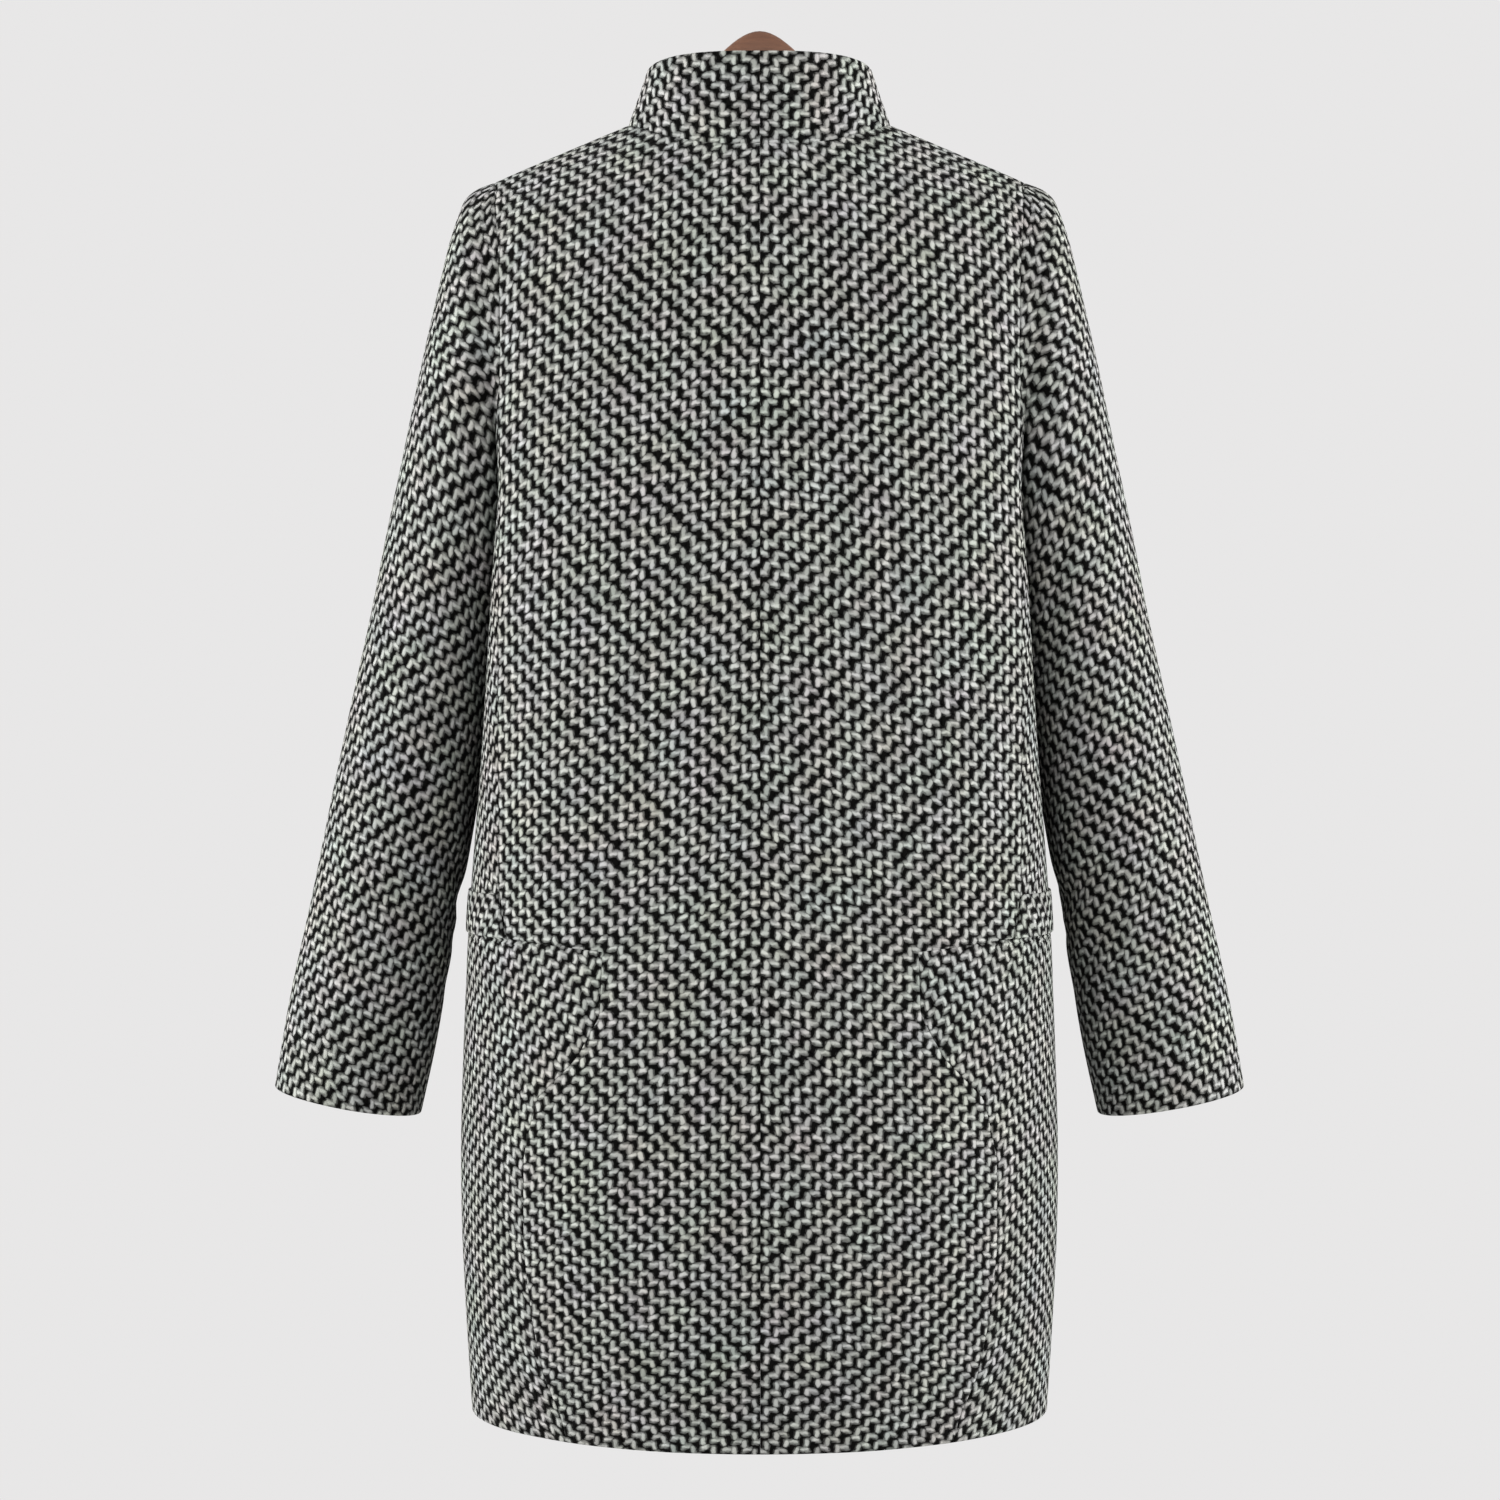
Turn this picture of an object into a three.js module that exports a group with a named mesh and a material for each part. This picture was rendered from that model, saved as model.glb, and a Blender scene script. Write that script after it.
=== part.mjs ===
// A long tweed coat with a stand collar, filled out as if worn, on a wooden hanger.
// Millimetres, +Z up. The origin is the top of the hanger's hump.
// The coat's back faces +Y, its front -Y, and the wearer's left side is +X.
// The outer face of the body is one smooth surface. The cut pieces are parts of it, with a seam gap
// between them, and each piece is a closed wall of cloth.

import * as THREE from "three";

// Cloth and seams
const CLOTH = 3;
const COLLAR_CLOTH = 4;
const WELT_CLOTH = 1.6;
const SEAM_GAP = 0.3;

// Heights and breadths that drive the cut
const HEM_Z = -921;
const ARMPIT_Z = -315;
const NAPE_Z = -89.5;
const FRONT_NECK_Z = -140;
const NECK_POINT_X = 88;
const NECK_POINT_Z = -64.3;
const SHOULDER_TIP_X = 180;
const SHOULDER_SLOPE = 0.42;
const LAP = 30;

// How fast the cloth falls away from the shoulder ridge
const RIDGE_ROUND = 12;
const DRAPE = 45;

const QUARTER_TURN = Math.PI / 2;
const FULL_TURN = Math.PI * 2;

// Body sections from hem to neck: height, half width, depth of back and front, squareness of the
// outline, and how far the sleeve presses the side in
const SECTIONS = [
  { z: HEM_Z, width: 192, back: 119, front: 108, square: 2, hollow: 0 },
  { z: -860, width: 195, back: 136, front: 116, square: 2.2, hollow: 0 },
  { z: -800, width: 197, back: 146, front: 122, square: 2.3, hollow: 0 },
  { z: -740, width: 197, back: 151, front: 125, square: 2.4, hollow: 0 },
  { z: -680, width: 195.5, back: 152, front: 126, square: 2.5, hollow: 0 },
  { z: -620, width: 193.5, back: 148, front: 124, square: 2.65, hollow: 0 },
  { z: -568, width: 190.5, back: 141, front: 120, square: 2.8, hollow: 0 },
  { z: -526, width: 188, back: 135, front: 116, square: 3, hollow: 2.5 },
  { z: -480, width: 186, back: 128, front: 112, square: 3.15, hollow: 8 },
  { z: -435, width: 184.5, back: 122, front: 108, square: 3.3, hollow: 14 },
  { z: -390, width: 183, back: 116, front: 104, square: 3.45, hollow: 19.5 },
  { z: -352, width: 181.5, back: 111, front: 101, square: 3.55, hollow: 23.5 },
  { z: ARMPIT_Z, width: 180, back: 106, front: 98, square: 3.6, hollow: 27 },
  { z: -270, width: 180.5, back: 101, front: 94, square: 3.6, hollow: 14 },
  { z: -220, width: 182, back: 95, front: 89, square: 3.5, hollow: 3 },
  { z: -160, width: 185.5, back: 88, front: 83, square: 3.4, hollow: 0 },
  { z: -103, width: 193, back: 80, front: 76, square: 3.3, hollow: 0 },
  { z: -60, width: 200, back: 74, front: 70, square: 3.2, hollow: 0 },
];
const HOLLOW_SPREAD = 45;
const HOLLOW_POWER = 4;

// The seams beside the side panel: height, and distance from the centre as a share of the half
// width. On the back the side panel widens below the pocket.
const BACK_SEAM = [
  { z: HEM_Z, across: 0.64 },
  { z: -904, across: 0.655 },
  { z: -877, across: 0.71 },
  { z: -843, across: 0.739 },
  { z: -796, across: 0.761 },
  { z: -736, across: 0.755 },
  { z: -699, across: 0.713 },
  { z: -672, across: 0.582 },
  { z: -645, across: 0.508 },
  { z: -606, across: 0.505 },
  { z: -600, across: 0.831 },
  { z: -568, across: 0.871 },
  { z: -475, across: 0.901 },
  { z: -408, across: 0.919 },
  { z: -259, across: 0.9535 },
];
const FRONT_SEAM = [
  { z: HEM_Z, across: 0.86 },
  { z: -600, across: 0.9 },
  { z: -400, across: 0.93 },
  { z: -259, across: 0.9535 },
];

// Heights of the rows of every body panel, from the hem to the top of the side seams
const LEVELS = [
  HEM_Z, -890, -860, -828, -796, -764, -736, -706, -680, -656, -630, -606, -600, -573, -540, -505,
  -470, -435, -402, -372, -342, -314, -286, -259,
];
const WELT_LOW = LEVELS.indexOf(-600);
const WELT_HIGH = LEVELS.indexOf(-573);
const LEVEL_TOP = -430;

// Armhole: greatest share of the body's depth that it takes, and where its curve begins to close
const ARMHOLE_RATIO = 0.66;
const ARMHOLE_TURN = 0.45;
const ARMHOLE_CROWDING = 1.8;
const ARMHOLE_PASSES = 6;

// How slowly the back neckline rises from the nape
const NECKLINE_POWER = 2.5;

// Panel grids
const BACK_COLUMNS = 8;
const FRONT_SHARES = [0, 0.08, 0.16, 0.235, 0.37, 0.5, 0.64, 0.8, 1];
const SIDE_COLUMNS = 8;
const NECK_CELLS = 7;
const CENTRE_CELLS = 5;
const UPPER_ROWS = NECK_CELLS + CENTRE_CELLS;

// Sleeve rings from the armhole to the cuff: the ring's outermost and innermost points, its half
// depth, and how far it hangs forward
const SLEEVE_RINGS = [
  { ring: 0, outX: 180, outZ: -102.9, inX: 153, inZ: -315, deep: 56, forward: 0 },
  { ring: 1, outX: 190.5, outZ: -107, inX: 156.5, inZ: -311.5, deep: 54.5, forward: 0 },
  { ring: 2, outX: 197.5, outZ: -113.5, inX: 160, inZ: -314, deep: 56, forward: 0 },
  { ring: 3, outX: 202, outZ: -125, inX: 161.5, inZ: -321, deep: 58.5, forward: 0 },
  { ring: 4, outX: 207, outZ: -142, inX: 162.3, inZ: -330, deep: 61, forward: 0 },
  { ring: 5, outX: 212, outZ: -164, inX: 163, inZ: -340, deep: 62.5, forward: 0 },
  { ring: 6, outX: 219, outZ: -194, inX: 164.5, inZ: -353, deep: 64, forward: 1 },
  { ring: 7, outX: 227, outZ: -230, inX: 167, inZ: -371, deep: 63.5, forward: 1 },
  { ring: 8, outX: 237.5, outZ: -281, inX: 170.5, inZ: -400, deep: 62.5, forward: 2 },
  { ring: 9, outX: 248.8, outZ: -334, inX: 176.5, inZ: -440, deep: 61, forward: 3 },
  { ring: 10, outX: 260.2, outZ: -392, inX: 184, inZ: -485, deep: 58.5, forward: 4 },
  { ring: 11, outX: 273.5, outZ: -452, inX: 192.5, inZ: -535, deep: 56, forward: 6 },
  { ring: 12, outX: 287, outZ: -514, inX: 201.5, inZ: -585, deep: 53, forward: 8 },
  { ring: 13, outX: 300.5, outZ: -578, inX: 210.2, inZ: -634, deep: 50, forward: 10 },
  { ring: 14, outX: 315.3, outZ: -644, inX: 218.6, inZ: -681, deep: 47.5, forward: 12 },
  { ring: 15, outX: 326.7, outZ: -708, inX: 228.8, inZ: -727, deep: 45, forward: 14 },
];
const ARMHOLE_FADE = 6;

// Collar: its top edge's plan, heights at the back and at the front, and rows
const COLLAR_HALF_WIDTH = 75;
const COLLAR_BACK = 62;
const COLLAR_FRONT = 66;
const COLLAR_SQUARE = 2.6;
const COLLAR_TOP_Z = -29.5;
const COLLAR_FRONT_TOP_Z = -86;
const COLLAR_ROWS = [0, 0.3, 0.6, 0.85, 1];
const COLLAR_FRONT_GAP = 2;

// Front closing
const LAP_GAP = 0.8;
const LAP_EASE_END = 75;
const BUTTON_RADIUS = 12.5;
const BUTTON_THICKNESS = 4;
const BUTTON_RIM = 10;
const BUTTON_BEVEL = 1;
const BUTTON_BELLY = 1.2;
const BUTTON_SLOPE = 1.5;
const BUTTON_HOLLOW = 1;
const BUTTON_TOP_Z = -165;
const BUTTON_SPACING = 120;
const BUTTON_COUNT = 5;
const BUTTON_SIDES = 16;

// Hanger
const HANGER_REACH = 172;
const HANGER_HALF_THICKNESS = 6.5;
const HANGER_SEAT = 3.9;
const HANGER_HEIGHT = 22;
const HANGER_TIP_HEIGHT = 15;
const HUMP_HALF_WIDTH = 80;
const HUMP_SOFTNESS = 15;
const HANGER_TIP_START = 0.93;
const HANGER_TIP_END = 1.04;
const HANGER_SQUARING = 0.75;
const HANGER_STEPS = 40;
const HANGER_SIDES = 12;

const tweed = new THREE.MeshStandardMaterial({ color: 0x7a7975, roughness: 0.95, metalness: 0 });
const wood = new THREE.MeshStandardMaterial({ color: 0x82553c, roughness: 0.5, metalness: 0 });
const horn = new THREE.MeshStandardMaterial({ color: 0x1d1b1a, roughness: 0.35, metalness: 0 });

function lerp(from, to, share) {
  return from + (to - from) * share;
}

function smoothStep(from, to, value) {
  const t = Math.min(1, Math.max(0, (value - from) / (to - from)));
  return t * t * (3 - 2 * t);
}

// The pair of neighbouring rows that hold a value of the table's key column
function rowsAround(rows, key, value) {
  const last = rows.length - 1;
  const at = Math.min(Math.max(value, rows[0][key]), rows[last][key]);
  const above = Math.max(1, rows.findIndex((row) => row[key] >= at));
  const span = rows[above][key] - rows[above - 1][key];
  return { above, span, share: (at - rows[above - 1][key]) / span };
}

// Straight lines through a column of a table
function linesThrough(rows, key, name) {
  return (value) => {
    const { above, share } = rowsAround(rows, key, value);
    return lerp(rows[above - 1][name], rows[above][name], share);
  };
}

// A smooth curve through a column of a table
function curveThrough(rows, key, name) {
  const last = rows.length - 1;
  const slopes = rows.map((row, i) => {
    const before = rows[Math.max(i - 1, 0)];
    const after = rows[Math.min(i + 1, last)];
    return (after[name] - before[name]) / (after[key] - before[key]);
  });
  return (value) => {
    const { above, span, share } = rowsAround(rows, key, value);
    const rise = share * share * (3 - 2 * share);
    const start = share * (1 - share) ** 2 * slopes[above - 1];
    const end = share * share * (1 - share) * slopes[above];
    return lerp(rows[above - 1][name], rows[above][name], rise) + span * (start - end);
  };
}

const bodyWidth = curveThrough(SECTIONS, "z", "width");
const bodySquare = curveThrough(SECTIONS, "z", "square");
const bodyHollow = curveThrough(SECTIONS, "z", "hollow");
const bodyDepth = {
  back: curveThrough(SECTIONS, "z", "back"),
  front: curveThrough(SECTIONS, "z", "front"),
};
const FACE_SIGN = { back: 1, front: -1 };
const seamAcross = {
  back: linesThrough(BACK_SEAM, "z", "across"),
  front: linesThrough(FRONT_SEAM, "z", "across"),
};

function ridgeZ(x) {
  return NECK_POINT_Z - SHOULDER_SLOPE * (Math.abs(x) - NECK_POINT_X);
}
const RIDGE_NORMAL = new THREE.Vector3(SHOULDER_SLOPE, 0, 1).normalize();
const TIP_Z = ridgeZ(SHOULDER_TIP_X);

// How full the body is at a distance below the shoulder ridge: none on the ridge, all lower down
function fullness(x, z) {
  const drop = Math.max(0, ridgeZ(x) - z);
  return 1 - Math.exp(-Math.sqrt(drop * drop + 2 * RIDGE_ROUND * drop) / DRAPE);
}

// A point of the body's outer face. The angle is 90 degrees at the centre and 0 at the side.
function bodyPoint(face, z, angle) {
  const half = bodyWidth(z);
  const deep = bodyDepth[face](z);
  const power = bodySquare(z);
  const side = Math.abs(Math.cos(angle) / half) ** power;
  const reach = (side + Math.abs(Math.sin(angle) / deep) ** power) ** (-1 / power);
  const across = reach * Math.cos(angle);
  const y = reach * Math.sin(angle) * fullness(across, z);
  const press = bodyHollow(z) * Math.exp(-((y / HOLLOW_SPREAD) ** 2)) * (across / half) ** HOLLOW_POWER;
  return new THREE.Vector3(across - press, FACE_SIGN[face] * y, z);
}

// The angle of a point at a distance from the centre, before the sleeve's press
function angleAcross(face, z, across) {
  const power = bodySquare(z);
  const ratio = Math.max(0, 1 - (across / bodyWidth(z)) ** power) ** (1 / power);
  return Math.atan2(bodyDepth[face](z) * ratio, across);
}

// Distances along a quarter of a section, from the centre to the side
const QUARTER_STEPS = 60;
function quarterLengths(face, z) {
  const lengths = [0];
  let before = bodyPoint(face, z, QUARTER_TURN);
  for (let i = 1; i <= QUARTER_STEPS; i++) {
    const here = bodyPoint(face, z, (1 - i / QUARTER_STEPS) * QUARTER_TURN);
    lengths.push(lengths[i - 1] + here.distanceTo(before));
    before = here;
  }
  return lengths;
}

function distanceAtAngle(lengths, angle) {
  const place = (1 - angle / QUARTER_TURN) * QUARTER_STEPS;
  const low = Math.min(QUARTER_STEPS - 1, Math.floor(place));
  return lerp(lengths[low], lengths[low + 1], place - low);
}

function angleAtDistance(lengths, distance) {
  const above = Math.max(1, lengths.findIndex((length) => length >= distance));
  const share = (distance - lengths[above - 1]) / (lengths[above] - lengths[above - 1]);
  return (1 - (above - 1 + share) / QUARTER_STEPS) * QUARTER_TURN;
}

// A node is a point of an outer face, the way out of the cloth there, and the cloth's thickness
function node(outer, normal, cloth = CLOTH) {
  return { outer, normal, cloth };
}

// A node of the body's face on the wearer's left. A negative angle passes the side seam line, and an
// angle over 90 degrees passes the centre.
const ANGLE_STEP = 0.004;
const HEIGHT_STEP = 0.5;
function anyBodyPoint(face, z, angle) {
  if (angle < 0) return bodyPoint(face === "back" ? "front" : "back", z, -angle);
  if (angle <= QUARTER_TURN) return bodyPoint(face, z, angle);
  const point = bodyPoint(face, z, Math.PI - angle);
  point.x = -point.x;
  return point;
}

function bodyNode(face, z, angle) {
  const outer = anyBodyPoint(face, z, angle);
  const outward = anyBodyPoint(face, z, angle - ANGLE_STEP);
  const inward = anyBodyPoint(face, z, angle + ANGLE_STEP);
  const above = anyBodyPoint(face, z + HEIGHT_STEP, angle);
  const below = anyBodyPoint(face, z - HEIGHT_STEP, angle);
  const normal = outward.sub(inward).cross(above.sub(below)).normalize();
  return node(outer, normal.multiplyScalar(-FACE_SIGN[face]));
}

function bodyNodeAcross(face, z, across) {
  const angle = angleAcross(face, z, Math.abs(across));
  return bodyNode(face, z, across < 0 ? Math.PI - angle : angle);
}

function ridgeNode(x) {
  return node(new THREE.Vector3(x, 0, ridgeZ(x)), RIDGE_NORMAL.clone());
}

// Armhole: the share of the body's depth at a share of the armhole's height, and its inverse
function armholeRatio(height) {
  const closing = 1 - Math.min(1, height / ARMHOLE_TURN);
  return ARMHOLE_RATIO * Math.sqrt(1 - closing ** 2);
}

function armholeHeight(ratio) {
  const part = Math.min(1, ratio / ARMHOLE_RATIO);
  return ARMHOLE_TURN * (1 - Math.sqrt(1 - part ** 2));
}

function armholeAcross(z, ratio) {
  const power = bodySquare(z);
  return bodyWidth(z) * (1 - ratio ** power) ** (1 / power);
}

// Places on the armhole edge of a back or front, from the top of the side seam to the shoulder tip
function armholePlaces() {
  const seamTop = LEVELS[LEVELS.length - 1];
  const start = (seamTop - ARMPIT_Z) / (TIP_Z - ARMPIT_Z);
  const places = [];
  for (let i = 1; i <= UPPER_ROWS; i++) {
    const height = lerp(start, 1, 1 - (1 - i / UPPER_ROWS) ** ARMHOLE_CROWDING);
    const z = lerp(ARMPIT_Z, TIP_Z, height);
    places.push({ z, across: armholeAcross(z, armholeRatio(height)) });
  }
  return places;
}

// Places on the inner edge of the upper back: up the centre seam, then along the neckline
function backInnerPlaces() {
  const seamTop = LEVELS[LEVELS.length - 1];
  const places = [];
  for (let i = 1; i <= CENTRE_CELLS; i++)
    places.push({ z: lerp(seamTop, NAPE_Z, i / CENTRE_CELLS), across: 0 });
  for (let i = 1; i <= NECK_CELLS; i++) {
    const across = NECK_POINT_X * Math.sin((i / NECK_CELLS) * QUARTER_TURN);
    const rise = (across / NECK_POINT_X) ** NECKLINE_POWER;
    places.push({ z: lerp(NAPE_Z, NECK_POINT_Z, rise), across });
  }
  return places;
}

// Places on the inner edge of the upper front: up the lap's edge, across the lap, round the neck
function frontInnerPlaces() {
  const seamTop = LEVELS[LEVELS.length - 1];
  const places = [];
  for (let i = 1; i < CENTRE_CELLS; i++)
    places.push({ z: lerp(seamTop, FRONT_NECK_Z, i / (CENTRE_CELLS - 1)), across: -LAP });
  for (let i = 0; i <= NECK_CELLS; i++) {
    const turn = (i / NECK_CELLS) * QUARTER_TURN;
    places.push({
      z: lerp(NECK_POINT_Z, FRONT_NECK_Z, Math.cos(turn)),
      across: NECK_POINT_X * Math.sin(turn),
    });
  }
  return places;
}

// Rows of a back or front above the side seams, between its inner edge and the armhole. The last one
// lies on the shoulder ridge.
function upperRows(face, innerPlaces, shares) {
  const outerPlaces = armholePlaces();
  return innerPlaces.map((inner, i) => {
    const outer = outerPlaces[i];
    const onRidge = i === innerPlaces.length - 1;
    return shares.map((share) => {
      const across = lerp(inner.across, outer.across, share);
      if (onRidge) return ridgeNode(lerp(NECK_POINT_X, SHOULDER_TIP_X, share));
      return bodyNodeAcross(face, lerp(inner.z, outer.z, share), across);
    });
  });
}

// How far the side seam is from the centre, along the cloth
function seamDistance(face, z, lengths) {
  const across = seamAcross[face](z) * bodyWidth(z);
  return distanceAtAngle(lengths, angleAcross(face, z, across));
}

// Rows of a back or front up to the top of the side seam, evenly spaced along the cloth
function lowerRows(face, lap, shares) {
  return LEVELS.map((z) => {
    const lengths = quarterLengths(face, z);
    const seam = seamDistance(face, z, lengths);
    return shares.map((share) => {
      const distance = lerp(-lap, seam, share);
      const angle = angleAtDistance(lengths, Math.abs(distance));
      return bodyNode(face, z, distance < 0 ? Math.PI - angle : angle);
    });
  });
}

// Shares across a row that put the upper rows' nodes above those of the last lower row
function sharesOf(row, lap) {
  const last = row[row.length - 1].outer.x;
  return row.map((place) => (place.outer.x + lap) / (last + lap));
}

// Moves the nodes of a piece's edge into the piece, along the cloth, to leave a gap at the seam
function drawIn(edge, inside, distance) {
  const moves = edge.map((place, i) => {
    const before = edge[Math.max(i - 1, 0)].outer;
    const after = edge[Math.min(i + 1, edge.length - 1)].outer;
    const along = after.clone().sub(before);
    const way = along.cross(place.normal).normalize();
    const inward = inside[i].outer.clone().sub(place.outer);
    return way.multiplyScalar(Math.sign(way.dot(inward)) * distance);
  });
  edge.forEach((place, i) => place.outer.add(moves[i]));
}

function drawInColumn(grid, column, neighbour, distance) {
  drawIn(grid.map((row) => row[column]), grid.map((row) => row[neighbour]), distance);
}

function drawInSeams(grid, top) {
  const last = grid[0].length - 1;
  const seamRows = grid.slice(0, LEVELS.length);
  drawInColumn(seamRows, last, last - 1, SEAM_GAP / 2);
  if (top) drawIn(grid[grid.length - 1], grid[grid.length - 2], SEAM_GAP / 2);
}

function backGrid() {
  const even = Array.from({ length: BACK_COLUMNS + 1 }, (unused, i) => i / BACK_COLUMNS);
  const lower = lowerRows("back", 0, even);
  const upper = upperRows("back", backInnerPlaces(), sharesOf(lower[lower.length - 1], 0));
  const grid = [...lower, ...upper];
  const edges = edgesOf(grid);
  const centre = grid.slice(0, LEVELS.length + CENTRE_CELLS);
  for (const row of centre) {
    row[0].normal.x = 0;
    row[0].normal.normalize();
  }
  drawInColumn(centre, 0, 1, SEAM_GAP / 2);
  drawInSeams(grid, true);
  return { grid, ...edges };
}

// The inner front of the lap passes behind the outer one
function frontGrid(under) {
  const lower = lowerRows("front", LAP, FRONT_SHARES);
  const upper = upperRows("front", frontInnerPlaces(), sharesOf(lower[lower.length - 1], LAP));
  const grid = [...lower, ...upper];
  if (under)
    for (const place of grid.flat()) {
      const depth = 1 - smoothStep(LAP, LAP_EASE_END, place.outer.x);
      place.outer.addScaledVector(place.normal, -depth * (CLOTH + LAP_GAP));
    }
  const edges = edgesOf(grid);
  drawInSeams(grid, true);
  return { grid, ...edges };
}

// Copies of the neckline and armhole edges, from which the collar and the sleeve start
function copyNode(place) {
  return node(place.outer.clone(), place.normal.clone(), place.cloth);
}

function edgesOf(grid) {
  const last = grid[0].length - 1;
  const top = grid.length - 1;
  return {
    neckline: grid.slice(top - NECK_CELLS).map((row) => copyNode(row[0])),
    armhole: grid.slice(LEVELS.length - 1).map((row) => copyNode(row[last])),
  };
}

// The side panel, from its back seam round the side to its front seam. Its top is the bottom of the
// armhole, so its upper rows dip in the middle.
function sidePlace(z, share) {
  const back = quarterLengths("back", z);
  const front = quarterLengths("front", z);
  const backSeam = seamDistance("back", z, back);
  const backPart = back[QUARTER_STEPS] - backSeam;
  const frontPart = front[QUARTER_STEPS] - seamDistance("front", z, front);
  const distance = share * (backPart + frontPart);
  if (distance > backPart) {
    const past = distance - backPart;
    return { face: "front", angle: angleAtDistance(front, front[QUARTER_STEPS] - past) };
  }
  return { face: "back", angle: angleAtDistance(back, backSeam + distance) };
}

function sideTopZ(share) {
  let z = ARMPIT_Z;
  for (let pass = 0; pass < ARMHOLE_PASSES; pass++) {
    const { face, angle } = sidePlace(z, share);
    const power = bodySquare(z);
    const tilt = Math.abs(Math.cos(angle) / bodyWidth(z)) ** power;
    const reach = (tilt + Math.abs(Math.sin(angle) / bodyDepth[face](z)) ** power) ** (-1 / power);
    const ratio = (reach * Math.sin(angle)) / bodyDepth[face](z);
    z = lerp(ARMPIT_Z, TIP_Z, armholeHeight(ratio));
  }
  return z;
}

function sideGrid() {
  const seamTop = LEVELS[LEVELS.length - 1];
  const shares = Array.from({ length: SIDE_COLUMNS + 1 }, (unused, i) => i / SIDE_COLUMNS);
  const dips = shares.map((share, i) => (i % SIDE_COLUMNS ? seamTop - sideTopZ(share) : 0));
  const grid = LEVELS.map((level) =>
    shares.map((share, i) => {
      const rise = Math.max(0, (level - LEVEL_TOP) / (seamTop - LEVEL_TOP));
      const z = level - dips[i] * rise;
      const { face, angle } = sidePlace(z, share);
      return bodyNode(face, z, angle);
    }),
  );
  const top = grid[grid.length - 1].map(copyNode);
  drawInColumn(grid, 0, 1, SEAM_GAP / 2);
  drawInColumn(grid, SIDE_COLUMNS, SIDE_COLUMNS - 1, SEAM_GAP / 2);
  return { grid, top };
}

// Nodes of a second piece that starts at an edge: moved off it by the gap, square to the edge
function startRing(edge, closed, cloth) {
  const count = edge.length;
  return edge.map((place, i) => {
    const before = closed ? edge[(i + count - 1) % count] : edge[Math.max(i - 1, 0)];
    const after = closed ? edge[(i + 1) % count] : edge[Math.min(i + 1, count - 1)];
    const along = after.outer.clone().sub(before.outer);
    const away = along.cross(place.normal).normalize();
    return node(place.outer.clone().addScaledVector(away, SEAM_GAP), place.normal.clone(), cloth);
  });
}

// Gives each node of a grid past its first row the way out of the face there
function addNormals(grid, closed) {
  const rows = grid.length;
  const columns = grid[0].length;
  const last = columns - 1;
  const fresh = grid.map((row, r) =>
    row.map((place, c) => {
      const left = closed ? row[(c + last) % columns] : row[Math.max(c - 1, 0)];
      const right = closed ? row[(c + 1) % columns] : row[Math.min(c + 1, last)];
      const low = grid[Math.max(r - 1, 0)][c];
      const high = grid[Math.min(r + 1, rows - 1)][c];
      const around = right.outer.clone().sub(left.outer);
      const onward = high.outer.clone().sub(low.outer);
      return around.cross(onward).normalize();
    }),
  );
  for (let r = 1; r < rows; r++) grid[r].forEach((place, c) => place.normal.copy(fresh[r][c]));
}

// The sleeve: rings that fan from the armhole to the cuff
const ringValue = (name) => curveThrough(SLEEVE_RINGS, "ring", name);
const ringOutX = ringValue("outX");
const ringOutZ = ringValue("outZ");
const ringInX = ringValue("inX");
const ringInZ = ringValue("inZ");
const ringDeep = ringValue("deep");
const ringForward = ringValue("forward");

function ringPoint(ring, angle) {
  const reach = Math.cos(angle);
  const x = lerp(ringInX(ring), ringOutX(ring), (1 + reach) / 2);
  const z = lerp(ringInZ(ring), ringOutZ(ring), (1 + reach) / 2);
  return new THREE.Vector3(x, ringDeep(ring) * Math.sin(angle) - ringForward(ring), z);
}

function sleeveGrid(back, side, front) {
  const backEdge = back.armhole.slice().reverse();
  const frontEdge = front.armhole.slice(0, -1);
  const loop = [...backEdge, ...side.top.slice(1, -1), ...frontEdge];
  const high = SLEEVE_RINGS[0];
  const middleZ = (high.outZ + high.inZ) / 2;
  const halfHeight = (high.outZ - high.inZ) / 2;
  const angles = loop.map((place) => {
    const turn = Math.atan2(place.outer.y / high.deep, (place.outer.z - middleZ) / halfHeight);
    return turn < 0 ? turn + FULL_TURN : turn;
  });
  angles[0] = 0;
  const first = startRing(loop, true, CLOTH);
  const lastRing = SLEEVE_RINGS.length - 1;
  const grid = [first];
  for (let ring = 1; ring <= lastRing; ring++) {
    const evened = smoothStep(0, lastRing / 2, ring);
    const kept = Math.max(0, 1 - ring / ARMHOLE_FADE) ** 2;
    grid.push(
      loop.map((place, i) => {
        const even = (i / loop.length) * FULL_TURN;
        const outer = ringPoint(ring, lerp(angles[i], even, evened));
        const rest = place.outer.clone().sub(ringPoint(0, angles[i]));
        return node(outer.addScaledVector(rest, kept), new THREE.Vector3());
      }),
    );
  }
  addNormals(grid, true);
  for (const row of grid.slice(1)) for (const place of row) faceOut(place, row);
  return grid;
}

// Turns a ring node's normal away from the middle of its ring
function faceOut(place, row) {
  const middle = new THREE.Vector3();
  for (const other of row) middle.add(other.outer);
  middle.divideScalar(row.length);
  const way = place.outer.clone().sub(middle);
  if (way.dot(place.normal) < 0) place.normal.negate();
}

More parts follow.
